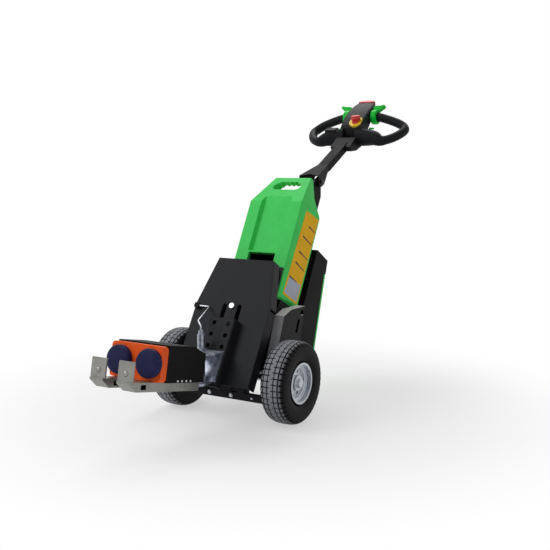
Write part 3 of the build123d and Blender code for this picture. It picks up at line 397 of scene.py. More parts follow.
def finishes():
    """All finishes of the tug by plain names."""
    colours = bpy.context.scene.tug_colours
    rows = (
        # plain name, finish, colour, dark tone, roughness, grain in mm, bump and what else differs
        # tyre rubber: carbon black, barely glossy, with a painted highlight that makes the tread's crown pale grey
        ("tyre", "tyre_rubber", "#131315", "#0d0d0f", 0.6, 1.5, 0.3,
         dict(colour_mm=40, crown="#8e8f94", shine=0.12)),
        ("castor_rubber", "castor_rubber", "#202125", "#17181b", 0.62, 1.5, 0.25, {}),
        # moulded buffer rubber: smooth with a blue-black cast
        ("buffer_rubber", "buffer_rubber", "#2c3056", "#24274a", 0.52, 0.9, 0.18, dict(colour_mm=25)),
        # silver lacquer on pressed steel
        ("rim_steel", "rim_silver_lacquer", "#c8ccd3", "#b6bbc3", 0.28, 0.8, 0.08, dict(metallic=0.8)),
        ("shaft_steel", "bright_zinc", "#c9ccd2", "#b4b8c0", 0.3, 0.6, 0.06, dict(metallic=0.85)),
        # satin powder coat: fine orange peel, soft sheen
        ("black_steel", "satin_powder_coat", colours.black_steel, "#1c1d20", 0.42, 1.4, 0.16, {}),
        # pods: black coat, with painted highlights that make the upper face near white and the front face pale grey
        ("pod_steel", "pod_coat_and_bare_face", "#141415", "#101011", 0.4, 1.4, 0.12,
         dict(faced=("#ffffff", "#b8b9bd"))),
        # rough cast aluminium of the drive unit
        ("drive_cast", "cast_aluminium", "#6d7076", "#5c5f64", 0.6, 1.6, 0.4, dict(metallic=0.5)),
        # bright zinc plate with a bluish passivation
        ("zinc_steel", "zinc_plate", "#b9bfca", "#747c8d", 0.36, 7.0, 0.9, dict(metallic=0.8, colour_mm=18)),
        # stainless sheet, brushed along its length
        ("stainless", "brushed_stainless", "#94938d", "#7f7f7b", 0.34, 0.7, 0.14,
         dict(metallic=0.8, brushed=(60, 3, 60))),
        # orange powder coat of the buffer plate
        ("orange_paint", "orange_powder_coat", colours.orange, "#f45a1c", 0.4, 1.4, 0.14, dict(shine=0.15)),
        # textured black ABS moulding
        ("black_plastic", "black_moulding", "#161618", "#111113", 0.5, 0.9, 0.28, {}),
        # foam sleeve of the loop handle
        ("grip_rubber", "grip_foam", "#1d1e20", "#17181a", 0.5, 0.8, 0.3, {}),
        # satin green ABS moulding
        ("green_plastic", "green_moulding", colours.green, "#40d65e", 0.42, 0.9, 0.12, dict(shine=0.12)),
        # smooth coloured mouldings of the controls
        ("control_green", "thumb_wheel_green", "#06cf3c", "#04c036", 0.4, 0.8, 0.1, dict(shine=0.15)),
        ("control_red", "red_moulding", "#e02a28", "#cf2422", 0.34, 0.8, 0.06, dict(shine=0.5)),
        ("control_yellow", "yellow_moulding", "#f4d42c", "#e8c722", 0.38, 0.8, 0.06, dict(shine=0.5)),
        # printed vinyl: plain yellow, a grey block and dark dividing lines
        ("label_yellow", "vinyl_yellow", "#ffc420", "#f6ba1c", 0.42, 0.6, 0.04, {}),
        ("label_grey", "vinyl_grey", "#bcc2cf", "#a9b0bf", 0.42, 0.6, 0.04, dict(colour_mm=9, shine=0.2)),
        ("label_ink", "vinyl_ink", "#17130e", "#120f0b", 0.6, 0.6, 0.04, dict(shine=0.5)),
        # head: textured black moulding that shows a soft grey sheen
        ("head_plastic", "head_moulding", "#252526", "#1c1c1d", 0.46, 0.8, 0.22, {}),
        # deeper black powder coat of the arms and the rear body
        ("arm_steel", "arm_powder_coat", "#0b0b0c", "#080809", 0.58, 1.4, 0.14, {}),
        # blackened pivot bolt, and zinc bolt heads against black
        ("dark_bolt", "blackened_bolt", "#3a3b3e", "#303134", 0.4, 0.6, 0.08, dict(metallic=0.6)),
        ("bright_head", "zinc_bolt_head", "#d5d7db", "#c4c7cc", 0.34, 0.5, 0.05, dict(metallic=0.4)),
    )
    return {key: finish_of(*values, **more) for key, *values, more in rows}


class TugColours(bpy.types.PropertyGroup):
    """Main colours as sRGB hex."""

    green: bpy.props.StringProperty(name="Battery green", description="Battery and cover", default="#4ae068")
    orange: bpy.props.StringProperty(name="Coupling orange", description="Buffer plate", default="#ff6422")
    black_steel: bpy.props.StringProperty(name="Black steel", description="Powder coat", default="#222327")


class TugSizes(bpy.types.PropertyGroup):
    """Sizes of the added pieces."""

    tread_pitches: bpy.props.IntProperty(name="Tread pitches", description="Blocks round a tyre", default=44, min=8)
    tread_depth: bpy.props.FloatProperty(name="Tread depth", description="Groove depth", default=0.0062,
                                         unit="LENGTH")
    lens: bpy.props.FloatProperty(name="Lens", description="Camera focal length in millimetres", default=56.15)


class TugFinishes(bpy.types.Operator):
    """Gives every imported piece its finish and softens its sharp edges"""

    bl_idname = "tug.finishes"
    bl_label = "Finishes"

    def execute(self, context):
        table = finishes()
        slot_of = {s["node"]: s["material_slot"] for s in frame["record"]["subparts"]}
        edge_mm = {"battery_pack": 4.0, "rear_box": 3.0, "rear_cover": 3.0, "head_housing": 4.0,
                   "side_pod_left": 2.5, "side_pod_right": 2.5, "front_plate": 1.2}
        other_finish = {"loop_handle_left": "grip_rubber", "loop_handle_right": "grip_rubber",
                        "side_pod_left": "pod_steel", "side_pod_right": "pod_steel", "coupling_arm": "arm_steel",
                        "rear_box": "arm_steel"}
        for name, node in frame["nodes"].items():
            material = table[other_finish.get(name, slot_of[name])]
            if not node.material_slots:
                node.data.materials.append(material)
            for held in node.material_slots:
                held.material = material
            if not name.startswith("tyre"):
                soften(node, edge_mm.get(name, 0.8), degrees=40)
        return {"FINISHED"}


def tyre_section():
    """Points (along, radius) round a tyre from bead over the crown to bead. A superellipse whose flat
    upper part is the tread and whose sides are the full sidewalls is drawn finely, then columns are
    picked closely across the tread and wider apart down the sidewalls."""
    bead_r, mid = TYRE_R * 0.466, TYRE_R * 0.735
    width_power, crown_power, side_power = 0.62, 0.56, 0.9
    tread_step, side_step = 0.0011, 0.004
    # half the section's sweep in radians
    sweep = 2.52
    angle = np.linspace(-1, 1, 4001) * sweep
    x = np.sign(np.sin(angle)) * np.abs(np.sin(angle)) ** width_power * TYRE_HALF * 0.998
    up = np.cos(angle)
    top = mid + (TYRE_R - 0.0004 - mid) * np.abs(up) ** crown_power
    low = mid - (mid - bead_r) * np.abs(up) ** side_power * 1.02
    r = np.maximum(np.where(up > 0, top, low), bead_r)
    step = np.hypot(np.diff(x), np.diff(r))
    run = np.concatenate(([0], np.cumsum(step)))
    start, stop = (np.interp(side * np.pi / 2 * width_power, angle, run) for side in (-1, 1))
    marks = np.concatenate((np.arange(0, start, side_step), np.arange(start, stop, tread_step),
                            np.arange(stop, run[-1], side_step)))
    return np.interp(marks, run, x), np.interp(marks, run, r)


def band(distance, half, flank=0.0009):
    """One where a distance is under a half width, zero outside it, with sloped flanks."""
    return np.clip((half - distance) / flank + 0.5, 0, 1)


class TugTyres(bpy.types.Operator):
    """Adds the two pneumatic tyres with their moulded block tread: a plain middle rib, then three rows of
    blocks on each side, parted by two thin grooves round the tyre and by a cross slit each pitch, half a
    pitch apart left to right"""

    bl_idname = "tug.tyres"
    bl_label = "Tyres"

    def execute(self, context):
        sizes = context.scene.tug_sizes
        x, r = tyre_section()
        rows_per_pitch = 18
        rows, columns = sizes.tread_pitches * rows_per_pitch, len(x)
        turn = np.linspace(0, 2 * math.pi, rows, endpoint=False)[:, None]
        pitch = turn * sizes.tread_pitches / (2 * math.pi)
        pitch_length = 2 * math.pi * TYRE_R / sizes.tread_pitches
        width, right = np.abs(x)[None, :], (x > 0)[None, :]
        phase = (pitch + 0.5 * right) % 1
        # places across the tread and half widths of what is cut, in metres
        inner_at, outer_at, groove_half, slit_half, notch_half = 0.0105, 0.0255, 0.0011, 0.0017, 0.0028
        rib_half, slit_end, notch_start, notch_end = 0.0045, 0.0335, 0.0300, 0.0405
        inner_groove = band(np.abs(width - inner_at), groove_half)
        outer_groove = band(np.abs(width - outer_at), groove_half)
        slit_place = np.abs(phase - 0.5) * pitch_length
        slit = band(slit_place, slit_half) * (1 - band(width, rib_half)) * (1 - band(-width, -slit_end))
        notch = band(slit_place, notch_half) * (1 - band(width, notch_start)) * (1 - band(-width, -notch_end))
        fade = np.clip((r[None, :] - TYRE_R * 0.86) / 0.006, 0, 1)
        groove = np.maximum(inner_groove, outer_groove) * np.clip((r[None, :] - TYRE_R * 0.93) / 0.003, 0, 1)
        cut = np.maximum(np.maximum(groove, slit), notch * 0.8) * fade * sizes.tread_depth
        # low rings on each sidewall: their places as shares of the tyre's radius, and half widths in metres
        rings = 0.0005 * sum(band(np.abs(r - TYRE_R * share), half)
                             for share, half in ((0.80, 0.0011), (0.57, 0.0016), (0.845, 0.0008)))[None, :]
        radius = r[None, :] - cut
        along = x[None, :] * (1 - rings / TYRE_HALF) + np.zeros_like(turn)
        for side, sign in SIDES:
            points = np.stack((sign * TYRE_X + along, AXLE_Y + radius * np.cos(turn),
                               AXLE_Z + radius * np.sin(turn)), -1)
            piece = put_mesh(f"tread_tyre_{side}", points, grid_faces(rows, columns, True, True)[:, ::-1],
                             f"wheel_{side}", "tyre", 28)
            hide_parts(f"tyre_{side}")
        return {"FINISHED"}


def on_arm(along, over):
    """Place (y, z) in millimetres forward along the coupling arm and over its underside."""
    c, s = cos_sin(COUPLING_PITCH)
    return COUPLING_ROOT[0] - along * c + over * s, COUPLING_ROOT[1] + along * s + over * c


def on_head(along, over):
    """Place (y, z) in millimetres along the head's lid from its near end and over its face."""
    c, s = cos_sin(HEAD_SLOPE)
    return LID_END[0] + along * c - over * s, LID_END[1] + along * s + over * c


def on_side(up, front, out):
    """A point on the battery's right side, which widens from its front to its back, stood out a little."""
    c, s = cos_sin(BATTERY_LEAN)
    return at(102 + (-front) / 128 * 8 + out, BATTERY_FOOT[0] + up * s - front * c,
              BATTERY_FOOT[1] + up * c + front * s)


BOX_FACES = [[3, 2, 1, 0], [4, 5, 6, 7], [0, 1, 5, 4], [1, 2, 6, 5], [2, 3, 7, 6], [3, 0, 4, 7]]


def side_patch(corners, low, high, sign):
    """A thin closed sheet on the battery's side from four (up, front) corners, mirrored by its sign."""
    points = np.array([on_side(u, f, out) for out in (low, high) for u, f in corners])
    points[:, 0] *= sign
    return points, BOX_FACES if sign > 0 else [f[::-1] for f in BOX_FACES]


class TugLabel(bpy.types.Operator):
    """Adds the plain two-tone side label of the battery with its dividing lines"""

    bl_idname = "tug.label"
    bl_label = "Battery label"

    def execute(self, context):
        lines = (((286.8, -74), (282.6, -118)), ((242.8, -55), (236.5, -118)), ((188, -54.5), (180.4, -116.7)),
                 ((147.5, -50), (137.9, -113.6)), ((91.8, -36), (88.4, -86.3)))
        for side, sign in SIDES:
            sheet = side_patch(((330, -38), (333, -121), (20, -117), (24.8, -25)), -0.2, 0.5, sign)
            put_mesh(f"label_sheet_{side}", *sheet, "battery", "green_plastic", finish="label_yellow")
            block = side_patch(((88, -37.3), (87.5, -112.5), (28, -110.5), (31.3, -29.5)), 0.4, 0.7, sign)
            put_mesh(f"label_block_{side}", *block, "battery", "green_plastic", finish="label_grey")
            # each line is 6.4 mm wide at its front end and 2.4 mm at its rear end
            strips = [side_patch(((up_a + 3.2, front_a), (up_b + 1.2, front_b), (up_b - 1.2, front_b),
                                  (up_a - 3.2, front_a)), 0.4, 0.8, sign)
                      for (up_a, front_a), (up_b, front_b) in lines]
            put_mesh(f"label_lines_{side}", *merge(strips), "battery", "green_plastic", finish="label_ink")
        return {"FINISHED"}


class TugBattery(bpy.types.Operator):
    """Adds the battery case with its open recess, lower pocket and scalloped grip: the side profile as a
    block, kept only inside its front and plan outlines and under the leaning sides of its top"""

    bl_idname = "tug.battery"
    bl_label = "Battery case"

    def execute(self, context):
        across, up, front = lean_axes(BATTERY_LEAN)
        foot = at(0, *BATTERY_FOOT)
        # height of the shoulder, half widths at front and back, and where these lie out of the front face
        shoulder, half_front, half_back, near, far = 344, 101.4, 110.5, 10, -135
        # how much the sides widen over how many millimetres, and how far the top leans in for each one up
        widen, depth, lean_in = 9.1, 145, 0.2855
        body = prism(mm((0, 0), (shoulder, 0), (468, -68), (468, -84), (398, -90), (338, -128), (243, -128),
                        (0, -126)), -0.13, 0.13, foot, up, front)
        face = prism(mm((-96, 0), (96, 0), (112, 22), (112, 480), (-112, 480), (-112, 22)), -0.3, 0.1, foot,
                     across, up)
        plan = prism(mm((-half_front, near), (half_front, near), (half_back, far), (-half_back, far)), -0.6, 0.05,
                     foot, across, front)
        # above the shoulder both sides lean in by one plane each, which also follows the sides' widening
        ends = []
        for rise in (-100, 500):
            for sign, out in ((-1, near), (1, near), (1, far), (-1, far)):
                half = half_front - (out - near) * widen / depth - lean_in * (rise - shoulder)
                ends.append(foot + (sign * half * across + rise * up + out * front) * MM)
        # cut from the top down, so their heights are negative
        recess = prism(mm((-57, 0.1), (57, 0.1), (52, -14), (-52, -14)), -0.45, -0.16, foot, across, front)
        pocket = prism(mm((-52, 0.2), (52, 0.2), (52, -60), (-52, -60)), -0.154, -0.07, foot, across, front)
        # grip: a long hole with four round finger places cut into its upper wall
        turn = np.linspace(-math.pi / 2, math.pi / 2, 9)
        right = np.stack((37 + 17.5 * np.cos(turn), 421.5 + 17.5 * np.sin(turn)), -1)
        arc = np.linspace(0, math.pi, 9)[1:-1]
        scallops = [np.stack((middle + 9.25 * np.cos(arc), 439 + 7.5 * np.sin(arc)), -1)
                    for middle in (27.75, 9.25, -9.25, -27.75)]
        grip = np.concatenate([right] + scallops + [right[::-1] * (-1, 1)])
        hole = prism(grip * MM, -0.2, 0.2, foot, across, up)
        case = carve(body, (("INTERSECT", face), ("INTERSECT", plan), ("INTERSECT", (np.array(ends), BOX_FACES)),
                            ("BEVEL", 2.6), ("DIFFERENCE", recess), ("DIFFERENCE", pocket), ("DIFFERENCE", hole)))
        piece = put_mesh("battery_case", *case, "battery", "green_plastic", 24)
        keep_flat(piece)
        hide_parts("battery_pack")
        # black lining of the pocket, as a thin open-fronted tray
        outer = prism(mm((-51.6, -14.4), (51.6, -14.4), (51.6, -59.6), (-51.6, -59.6)), -0.153, -0.0704, foot,
                      across, front)
        inner = prism(mm((-50, 0.2), (50, 0.2), (50, -58), (-50, -58)), -0.151, -0.072, foot, across, front)
        put_mesh("pocket_lining", *carve(outer, (("DIFFERENCE", inner),)), "battery", "black_plastic")
        return {"FINISHED"}


def smooth_path(points, steps):
    """Places along a curve through points: cubic pieces whose ends follow their neighbours' directions."""
    points = np.asarray(points, float)
    ahead = np.concatenate((points[1:2] - points[:1], points[2:] - points[:-2], points[-1:] - points[-2:-1]))
    out = []
    for i, span in enumerate(np.linalg.norm(np.diff(points, axis=0), axis=1)):
        a, b = (ahead[k] / max(np.linalg.norm(ahead[k]), 1e-9) * span for k in (i, i + 1))
        t = np.linspace(0, 1, steps, endpoint=i == len(points) - 2)[:, None]
        out.append((2 * t**3 - 3 * t**2 + 1) * points[i] + (t**3 - 2 * t**2 + t) * a
                   + (3 * t**2 - 2 * t**3) * points[i + 1] + (t**3 - t**2) * b)
    return np.concatenate(out)


def swept(path, sections, turns):
    """Points and faces of a closed skin along a path. A section is a superellipse given by its half length
    along the machine, its half height and its power; ends are capped."""
    path = np.asarray(path, float)
    along = np.gradient(path, axis=0)
    along /= np.linalg.norm(along, axis=1)[:, None]
    up = np.array((0, 0, 1.0)) - along * along[:, 2:]
    up /= np.linalg.norm(up, axis=1)[:, None]
    side = np.cross(up, along)
    angle = np.linspace(0, 2 * math.pi, turns, endpoint=False)
    c, s = np.cos(angle), np.sin(angle)
    half_y, half_z, power = (sections[:, k][:, None] for k in range(3))
    e1 = np.sign(c) * np.abs(c) ** (2 / power) * half_y
    e2 = np.sign(s) * np.abs(s) ** (2 / power) * half_z
    points = path[:, None, :] + e1[..., None] * side[:, None, :] + e2[..., None] * up[:, None, :]
    rows = len(path)
    faces = grid_faces(rows, turns, close_columns=True).tolist()
    faces += [list(range(turns))[::-1], list(range((rows - 1) * turns, rows * turns))]
    return points.reshape(-1, 3), faces


def lid_skin():
    """Points and faces of the head's lid: rows along it and columns across, crowned lengthways, its rim
    rolled down at every edge, and its nose run on down in front of the housing as a narrowing tongue."""
    t, u = np.linspace(0, 1, 49)[:, None], np.linspace(-1, 1, 41)[None, :]
    length, thick, crown, side_crown, tongue_thick = 184, 16, 10, 1.2, 12
    half = np.interp(t, (0, 0.21, 0.35, 0.73, 0.93, 1), (43, 45, 46.6, 46.5, 40.5, 33))
    x = half * np.sign(u) * np.abs(u) ** 0.8
    rim = (np.clip((np.abs(u) - 0.8) / 0.2, 0, 1) ** 2 * 4 + np.clip((0.03 - t) / 0.03, 0, 1) ** 2 * 3
           + np.clip((t - 0.96) / 0.04, 0, 1) ** 2 * 4)
    over = crown * (1 - (2 * t - 1) ** 2) - rim + side_crown * (1 - u**2)
    # rows of y, z and half width down the tongue, from its tip up
    nose = np.array(((820, 899, 8), (817.5, 906, 12), (815, 913, 16.5), (812.5, 921, 22), (811, 929, 30),
                     (809.3, 936, 37), (808.3, 942, 41)))
    nose_y, nose_z, nose_half = nose[:, :1], nose[:, 1:2], nose[:, 2:]
    tongue = at(nose_half * u, nose_y + 2.5 * u**2 * (nose_half / 43), nose_z)
    top = np.concatenate((tongue, at(x, *on_head(length * t, over))))
    low = np.concatenate((tongue + (0, tongue_thick * MM, 0), at(x, *on_head(length * t, -thick))))
    rows, columns = top.shape[:2]
    n = rows * columns
    grid = grid_faces(rows, columns)
    edge = np.concatenate((np.arange(columns), np.arange(1, rows) * columns + columns - 1,
                           (rows - 1) * columns + np.arange(columns - 2, -1, -1),
                           np.arange(rows - 2, 0, -1) * columns))
    after = np.roll(edge, -1)
    walls = np.stack((edge, edge + n, after + n, after), -1)
    faces = np.concatenate((grid[:, ::-1], grid + n, walls))
    return np.concatenate((top.reshape(-1, 3), low.reshape(-1, 3))), faces


class TugHead(bpy.types.Operator):
    """Adds the handle head: crowned lid, housing, winged loop, stop button, thumb wheels and belly switch"""

    bl_idname = "tug.head"
    bl_label = "Handle head"

    def execute(self, context):
        lid = put_mesh("lid_shell", *lid_skin(), "tiller", "black_plastic", 40, "head_plastic")
        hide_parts("head_lid")

        housing = carve(side_prism(((724, 868), (775, 905), (818, 901), (816.9, 934.7), (966, 1034), (952, 1022),
                                    (831, 873.5), (782, 854.5), (738, 851)), -42, 42))
        shell = put_mesh("head_shell", *housing, "tiller", "black_plastic", 40)
        soften(shell, 3, 3)
        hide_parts("head_housing")

        # the wing grows out of the housing and thins into the tube that loops round to the far end
        knots = ((30, 829, 908), (60, 824, 906), (100, 812, 902), (132, 807, 892), (160, 819, 897),
                 (184, 846, 911), (198, 880, 930), (190, 898, 943), (168, 906, 957), (135, 909, 970),
                 (100, 911, 981), (76, 912, 986.5), (48, *TUBE_END), (40, *TUBE_END))
        path = smooth_path(knots, 9)
        # zero in the housing, one on the wing, two on the tube; the way back to the middle is all tube
        place = np.interp(path[:, 0] + (path[:, 1] > 850) * 400, (30, 42, 70, 100, 132, 150, 900),
                          (0, 0.1, 0.45, 1.0, 1.7, 2, 2))
        half_y, half_z, power = (np.interp(place, (0, 1, 2), stages)
                                 for stages in ((34, 25, 17), (35, 28, 17), (4.5, 3.0, 2.0)))
        sections = np.stack((half_y, half_z, power), -1) * (MM, MM, 1)
        # thumb wheel: a barrel round the tube with a horned paddle
        ring = mm((0, 17.6), (0, 25), (2, 28), (5, 28.8), (19, 28.8), (22, 28), (24, 25), (24, 17.6))
        horn = np.array(((48, 18), (48, 40), (53, 45), (62, 46.5), (76, 46.5), (86, 49.5), (92, 50), (95.5, 46),
                         (94.5, 41), (88, 35.5), (81, 30), (75.5, 24), (72, 18)))
        for side, sign in SIDES:
            points, faces = swept(path * (sign, 1, 1) * MM + (0, AXLE_Y, 0), sections, 40)
            if sign > 0:
                faces = [f[::-1] for f in faces]
            loop = put_mesh(f"grip_loop_{side}", points, faces, "tiller", "black_plastic", 50, "grip_rubber")
            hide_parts(f"loop_handle_{side}")

            barrel = closed_turn(ring, at(sign * 48, *TUBE_END), (sign, 0, 0), UPRIGHT, 56, loop=True)
            paddle = prism((horn * (sign, 1))[::sign] * MM, -0.009, 0.009, at(0, *TUBE_END), ACROSS, rising(66))
            thumb = put_mesh(f"thumb_{side}", *merge((barrel, paddle)), "tiller", "control_green", 40)
            soften(thumb, 2.2, 3, 50)
            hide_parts(f"thumb_wheel_{side}")
            key = prism(rounded(11, 3.6, 3.2) * MM, -0.0025, 0.0025, at(sign * 72, 853, 941), ACROSS,
                        (0, math.cos(0.5), -math.sin(0.5)))
            soften(put_mesh(f"small_key_{side}", *key, "tiller", "control_green", 40), 0.8)

        # emergency stop: a flat yellow disc with its right edge cut straight, a red cap with a hollow top;
        # the disc follows the lid, which rises 9 degrees more than its chord there
        turn = np.linspace(0, 2 * math.pi, 48, endpoint=False)
        disc = np.stack((np.minimum(28 * np.cos(turn), 23), 28 * np.sin(turn)), -1)
        base = prism(disc * MM, -0.006, 0.0034, at(18, *on_head(25, 5.6)), ACROSS, rising(42.8))
        plate = put_mesh("stop_plate", *base, "tiller", "control_yellow", 40)
        soften(plate, 1.0)
        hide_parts("estop_base")
        c, s = cos_sin(12)
        cap = closed_turn(mm((-6, 0), (-6, 15.6), (7, 15.9), (8.5, 17.4), (10, 18), (19, 17.7), (21.4, 16.8),
                             (22.8, 15), (23, 12.6), (22.1, 8), (21.9, 0)), at(18, *on_head(25, 8)), (0, -s, c),
                          ACROSS, 40)
        button = put_mesh("stop_cap", *cap, "tiller", "control_red", 50)
        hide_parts("estop_button")

        # belly switch: a crescent bar round the lid's far end
        arc = np.linspace(0, math.pi, 25)
        crescent = np.stack((36 * np.cos(arc), 180 + 15 * np.sin(arc) ** 0.8), -1)
        bar = prism(crescent * MM, -0.010, 0.0045, at(0, *LID_END), ACROSS, rising(HEAD_SLOPE))
        belly = put_mesh("belly_bar", *bar, "tiller", "control_red", 40)
        soften(belly, 2.5, 3)
        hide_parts("belly_switch")

        bracket = prism(rounded(23, 17, 3) * MM, -0.012, 0.001, at(-80, 806, 940), ACROSS,
                        (0, math.cos(0.35), math.sin(0.35)))
        panel = put_mesh("panel_bracket", *bracket, "tiller", "black_plastic", 40)
        soften(panel, 1.2)
        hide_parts("key_panel")
        return {"FINISHED"}


class TugFork(bpy.types.Operator):
    """Adds the tiller's hollow arm with its flared fork, the mast plates and the pivot bolt"""

    bl_idname = "tug.fork"
    bl_label = "Fork and mast"

    def execute(self, context):
        c, s = cos_sin(ARM_SLOPE)
        knee = at(0, *FORK_KNEE)
        channel = mm((-21, 0), (21, 0), (21, 28), (17, 28), (17, 4), (-17, 4), (-17, 28), (-21, 28))
        arm = prism(channel, 0.0, 0.186, knee, ACROSS, (0, s, -c))
        # fork plates 4 mm thick, which flare from the arm's width to 82 mm over 109 mm
        thick, flare = 4, 20 / 109
        outline = np.array(((483, 762), FORK_KNEE, (603, 808.2), (603, 776.4), (583, 769), (545, 730), (523, 722),
                            (503, 719), (490, 724), (484, 732), (481.5, 742)), float)
        x_out = 41 - (outline[:, 0] - 483) * flare
        plate = np.concatenate((at(x_out, *outline.T), at(x_out - thick, *outline.T)))
        plates = both_sides((plate, block_faces(len(outline))))
        # web over the fork plates, from the knee forward, with a notch between its two ends
        ahead, drop = 105.7, 38.5
        run = math.hypot(ahead, drop)
        web = prism(mm((-19, -4), (19, -4), (39, run), (26, run), (0, 98), (-26, run), (-39, run)), 0.0,
                    thick * MM, knee, ACROSS, (0, -ahead / run, -drop / run))
        piece = put_mesh("arm_and_fork", *merge((arm, plates, web)), "tiller", "black_steel", finish="arm_steel")
        soften(piece, 0.9)
        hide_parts("tiller_arm")

        low = node_box("tiller_mast")[0]
        foot_y, foot_z = (low[1] - AXLE_Y) / MM, low[2] / MM
        inside, outside = 23, 28
        plates = both_sides(side_prism(((foot_y, foot_z + 44), (403, 468), (522, 684), (522, 739), (517, 752),
                                        (503, 758), (489, 752), (484, 739)), inside, outside))
        web = side_prism(((398, 471), (403, 468), (522, 684), (517, 684)), -inside, inside)
        back = side_prism(((513, 672), (518, 676), (518, 750), (513, 750)), -inside, inside)
        mast = put_mesh("mast_plates", *merge((plates, web, back)), "chassis", "black_steel", finish="arm_steel")
        soften(mast, 0.9)
        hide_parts("tiller_mast")

        # pivot: a pin through both plates, with a spacer ring and a head on each side
        parts = [closed_turn(mm((-42, 0), (-42, 6), (42, 6), (42, 0)), at(0, *PIVOT), ACROSS, UPRIGHT, 24)]
        for sign in (-1, 1):
            out = (sign, 0, 0)
            parts.append(bolt(at(sign * 39.6, *PIVOT), out, 8 * MM, 6 * MM, "hex"))
            parts.append(closed_turn(mm((0, 6), (0, 10), (3.2, 10), (3.2, 6)), at(sign * outside, *PIVOT), out,
                                     UPRIGHT, 24))
        pin = put_mesh("pivot_and_heads", *merge(parts), "chassis", "shaft_steel", 40, "dark_bolt")
        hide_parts("pivot_bolt")
        return {"FINISHED"}


class TugCoupling(bpy.types.Operator):
    """Adds the folded orange plate with its two rubber buffers and the web over the low bar"""

    bl_idname = "tug.coupling"
    bl_label = "Coupling head"

    def execute(self, context):
        up, ahead = lean_axes(COUPLING_PITCH)[1:]
        root = at(0, *COUPLING_ROOT)
        middle = 49
        outer = rounded(90, middle, 11) * MM + (0, middle * MM)
        inner = rounded(86.5, 45.5, 8) * MM + (0, middle * MM)
        tray = carve(prism(outer, 0.174, 0.200, root, ACROSS, up),
                     (("DIFFERENCE", prism(inner, 0.16, 0.1955, root, ACROSS, up)),))
        plate = put_mesh("orange_tray", *tray, "coupler", "orange_paint")
        soften(plate, 1.2)
        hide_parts("buffer_plate")
        profile = mm((0, 0), (0, 40), (12, 40.4), (15.5, 39.5), (17.6, 37), (18.2, 34), (18.5, 20), (18.5, 0))
        for side, sign in SIDES:
            rubber = closed_turn(profile, at(sign * 52.4, *on_arm(200, middle)), ahead, ACROSS, 72)
            piece = put_mesh(f"buffer_rubber_{side}", *rubber, "coupler", "buffer_rubber", 50)
            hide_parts(f"buffer_{side}")
        web = side_prism(((-81, 97), (-75, 97), (-75, 149.5), (-81, 149.5)), -104, 104)
        block = side_prism(((-85, 97), (-71, 97), (-71, 149.5), (-85, 149.5)), -42, 42)
        piece = put_mesh("bar_web", *merge((web, block)), "chassis", "black_steel")
        soften(piece, 0.8)
        return {"FINISHED"}


class TugFasteners(bpy.types.Operator):
    """Adds the bolt heads on the coupling, hooks, pods and low bar"""

    bl_idname = "tug.fasteners"
    bl_label = "Fasteners"

    def execute(self, context):
        groups = {}
        ahead = lean_axes(COUPLING_PITCH)[2]

        def put(body, slot, name, point, normal, radius, height, kind):
            """Adds one head, in millimetres, to the piece of its name."""
            head = bolt(at(*point), normal, radius * MM, height * MM, kind)
            groups.setdefault((name, body, slot), []).append(head)

        for side, sign in SIDES:
            out = (sign, 0, 0)
            for along in (121, 101.5, 82, 62.5):
                put("coupler", "black_steel", f"arm_bolts_{side}", (sign * 90, *on_arm(along, 5)), out, 3.4, 2.4,
                    "dome")
            for along in (95, 75.5, 56.5):
                put("coupler", "stainless", f"rail_screws_{side}", (sign * 70, *on_arm(along, -14.5)), out, 3.6,
                    2.2, "dome")
            put("coupler", "stainless", f"hook_bolts_{side}", (sign * 47.4, *on_arm(292, 21)), ahead, 8.5, 4.6,
                "dome")
            put("chassis", "shaft_steel", f"pod_bolt_{side}", (sign * 138, 128.5, 263.9), out, 5.5, 5, "hex")
            for x, radius, height, kind in ((41, 5, 4, "hex"), (118, 4.2, 3, "dome")):
                put("chassis", "shaft_steel", f"bar_bolts_{side}", (sign * x, -85, 84), (0, -1, 0), radius, height,
                    kind)
        for (name, body, slot), parts in groups.items():
            put_mesh(name, *merge(parts), body, slot, 40, "bright_head" if name.startswith("arm") else None)
        return {"FINISHED"}


def direct_rays(tree):
    """One for rays that the camera, a reflection or a clear piece sends out, else zero."""
    ray = add(tree, "ShaderNodeLightPath").outputs
    either = maths(tree, "MAXIMUM", ray["Is Camera Ray"], ray["Is Glossy Ray"])
    return maths(tree, "MAXIMUM", either, ray["Is Transmission Ray"])


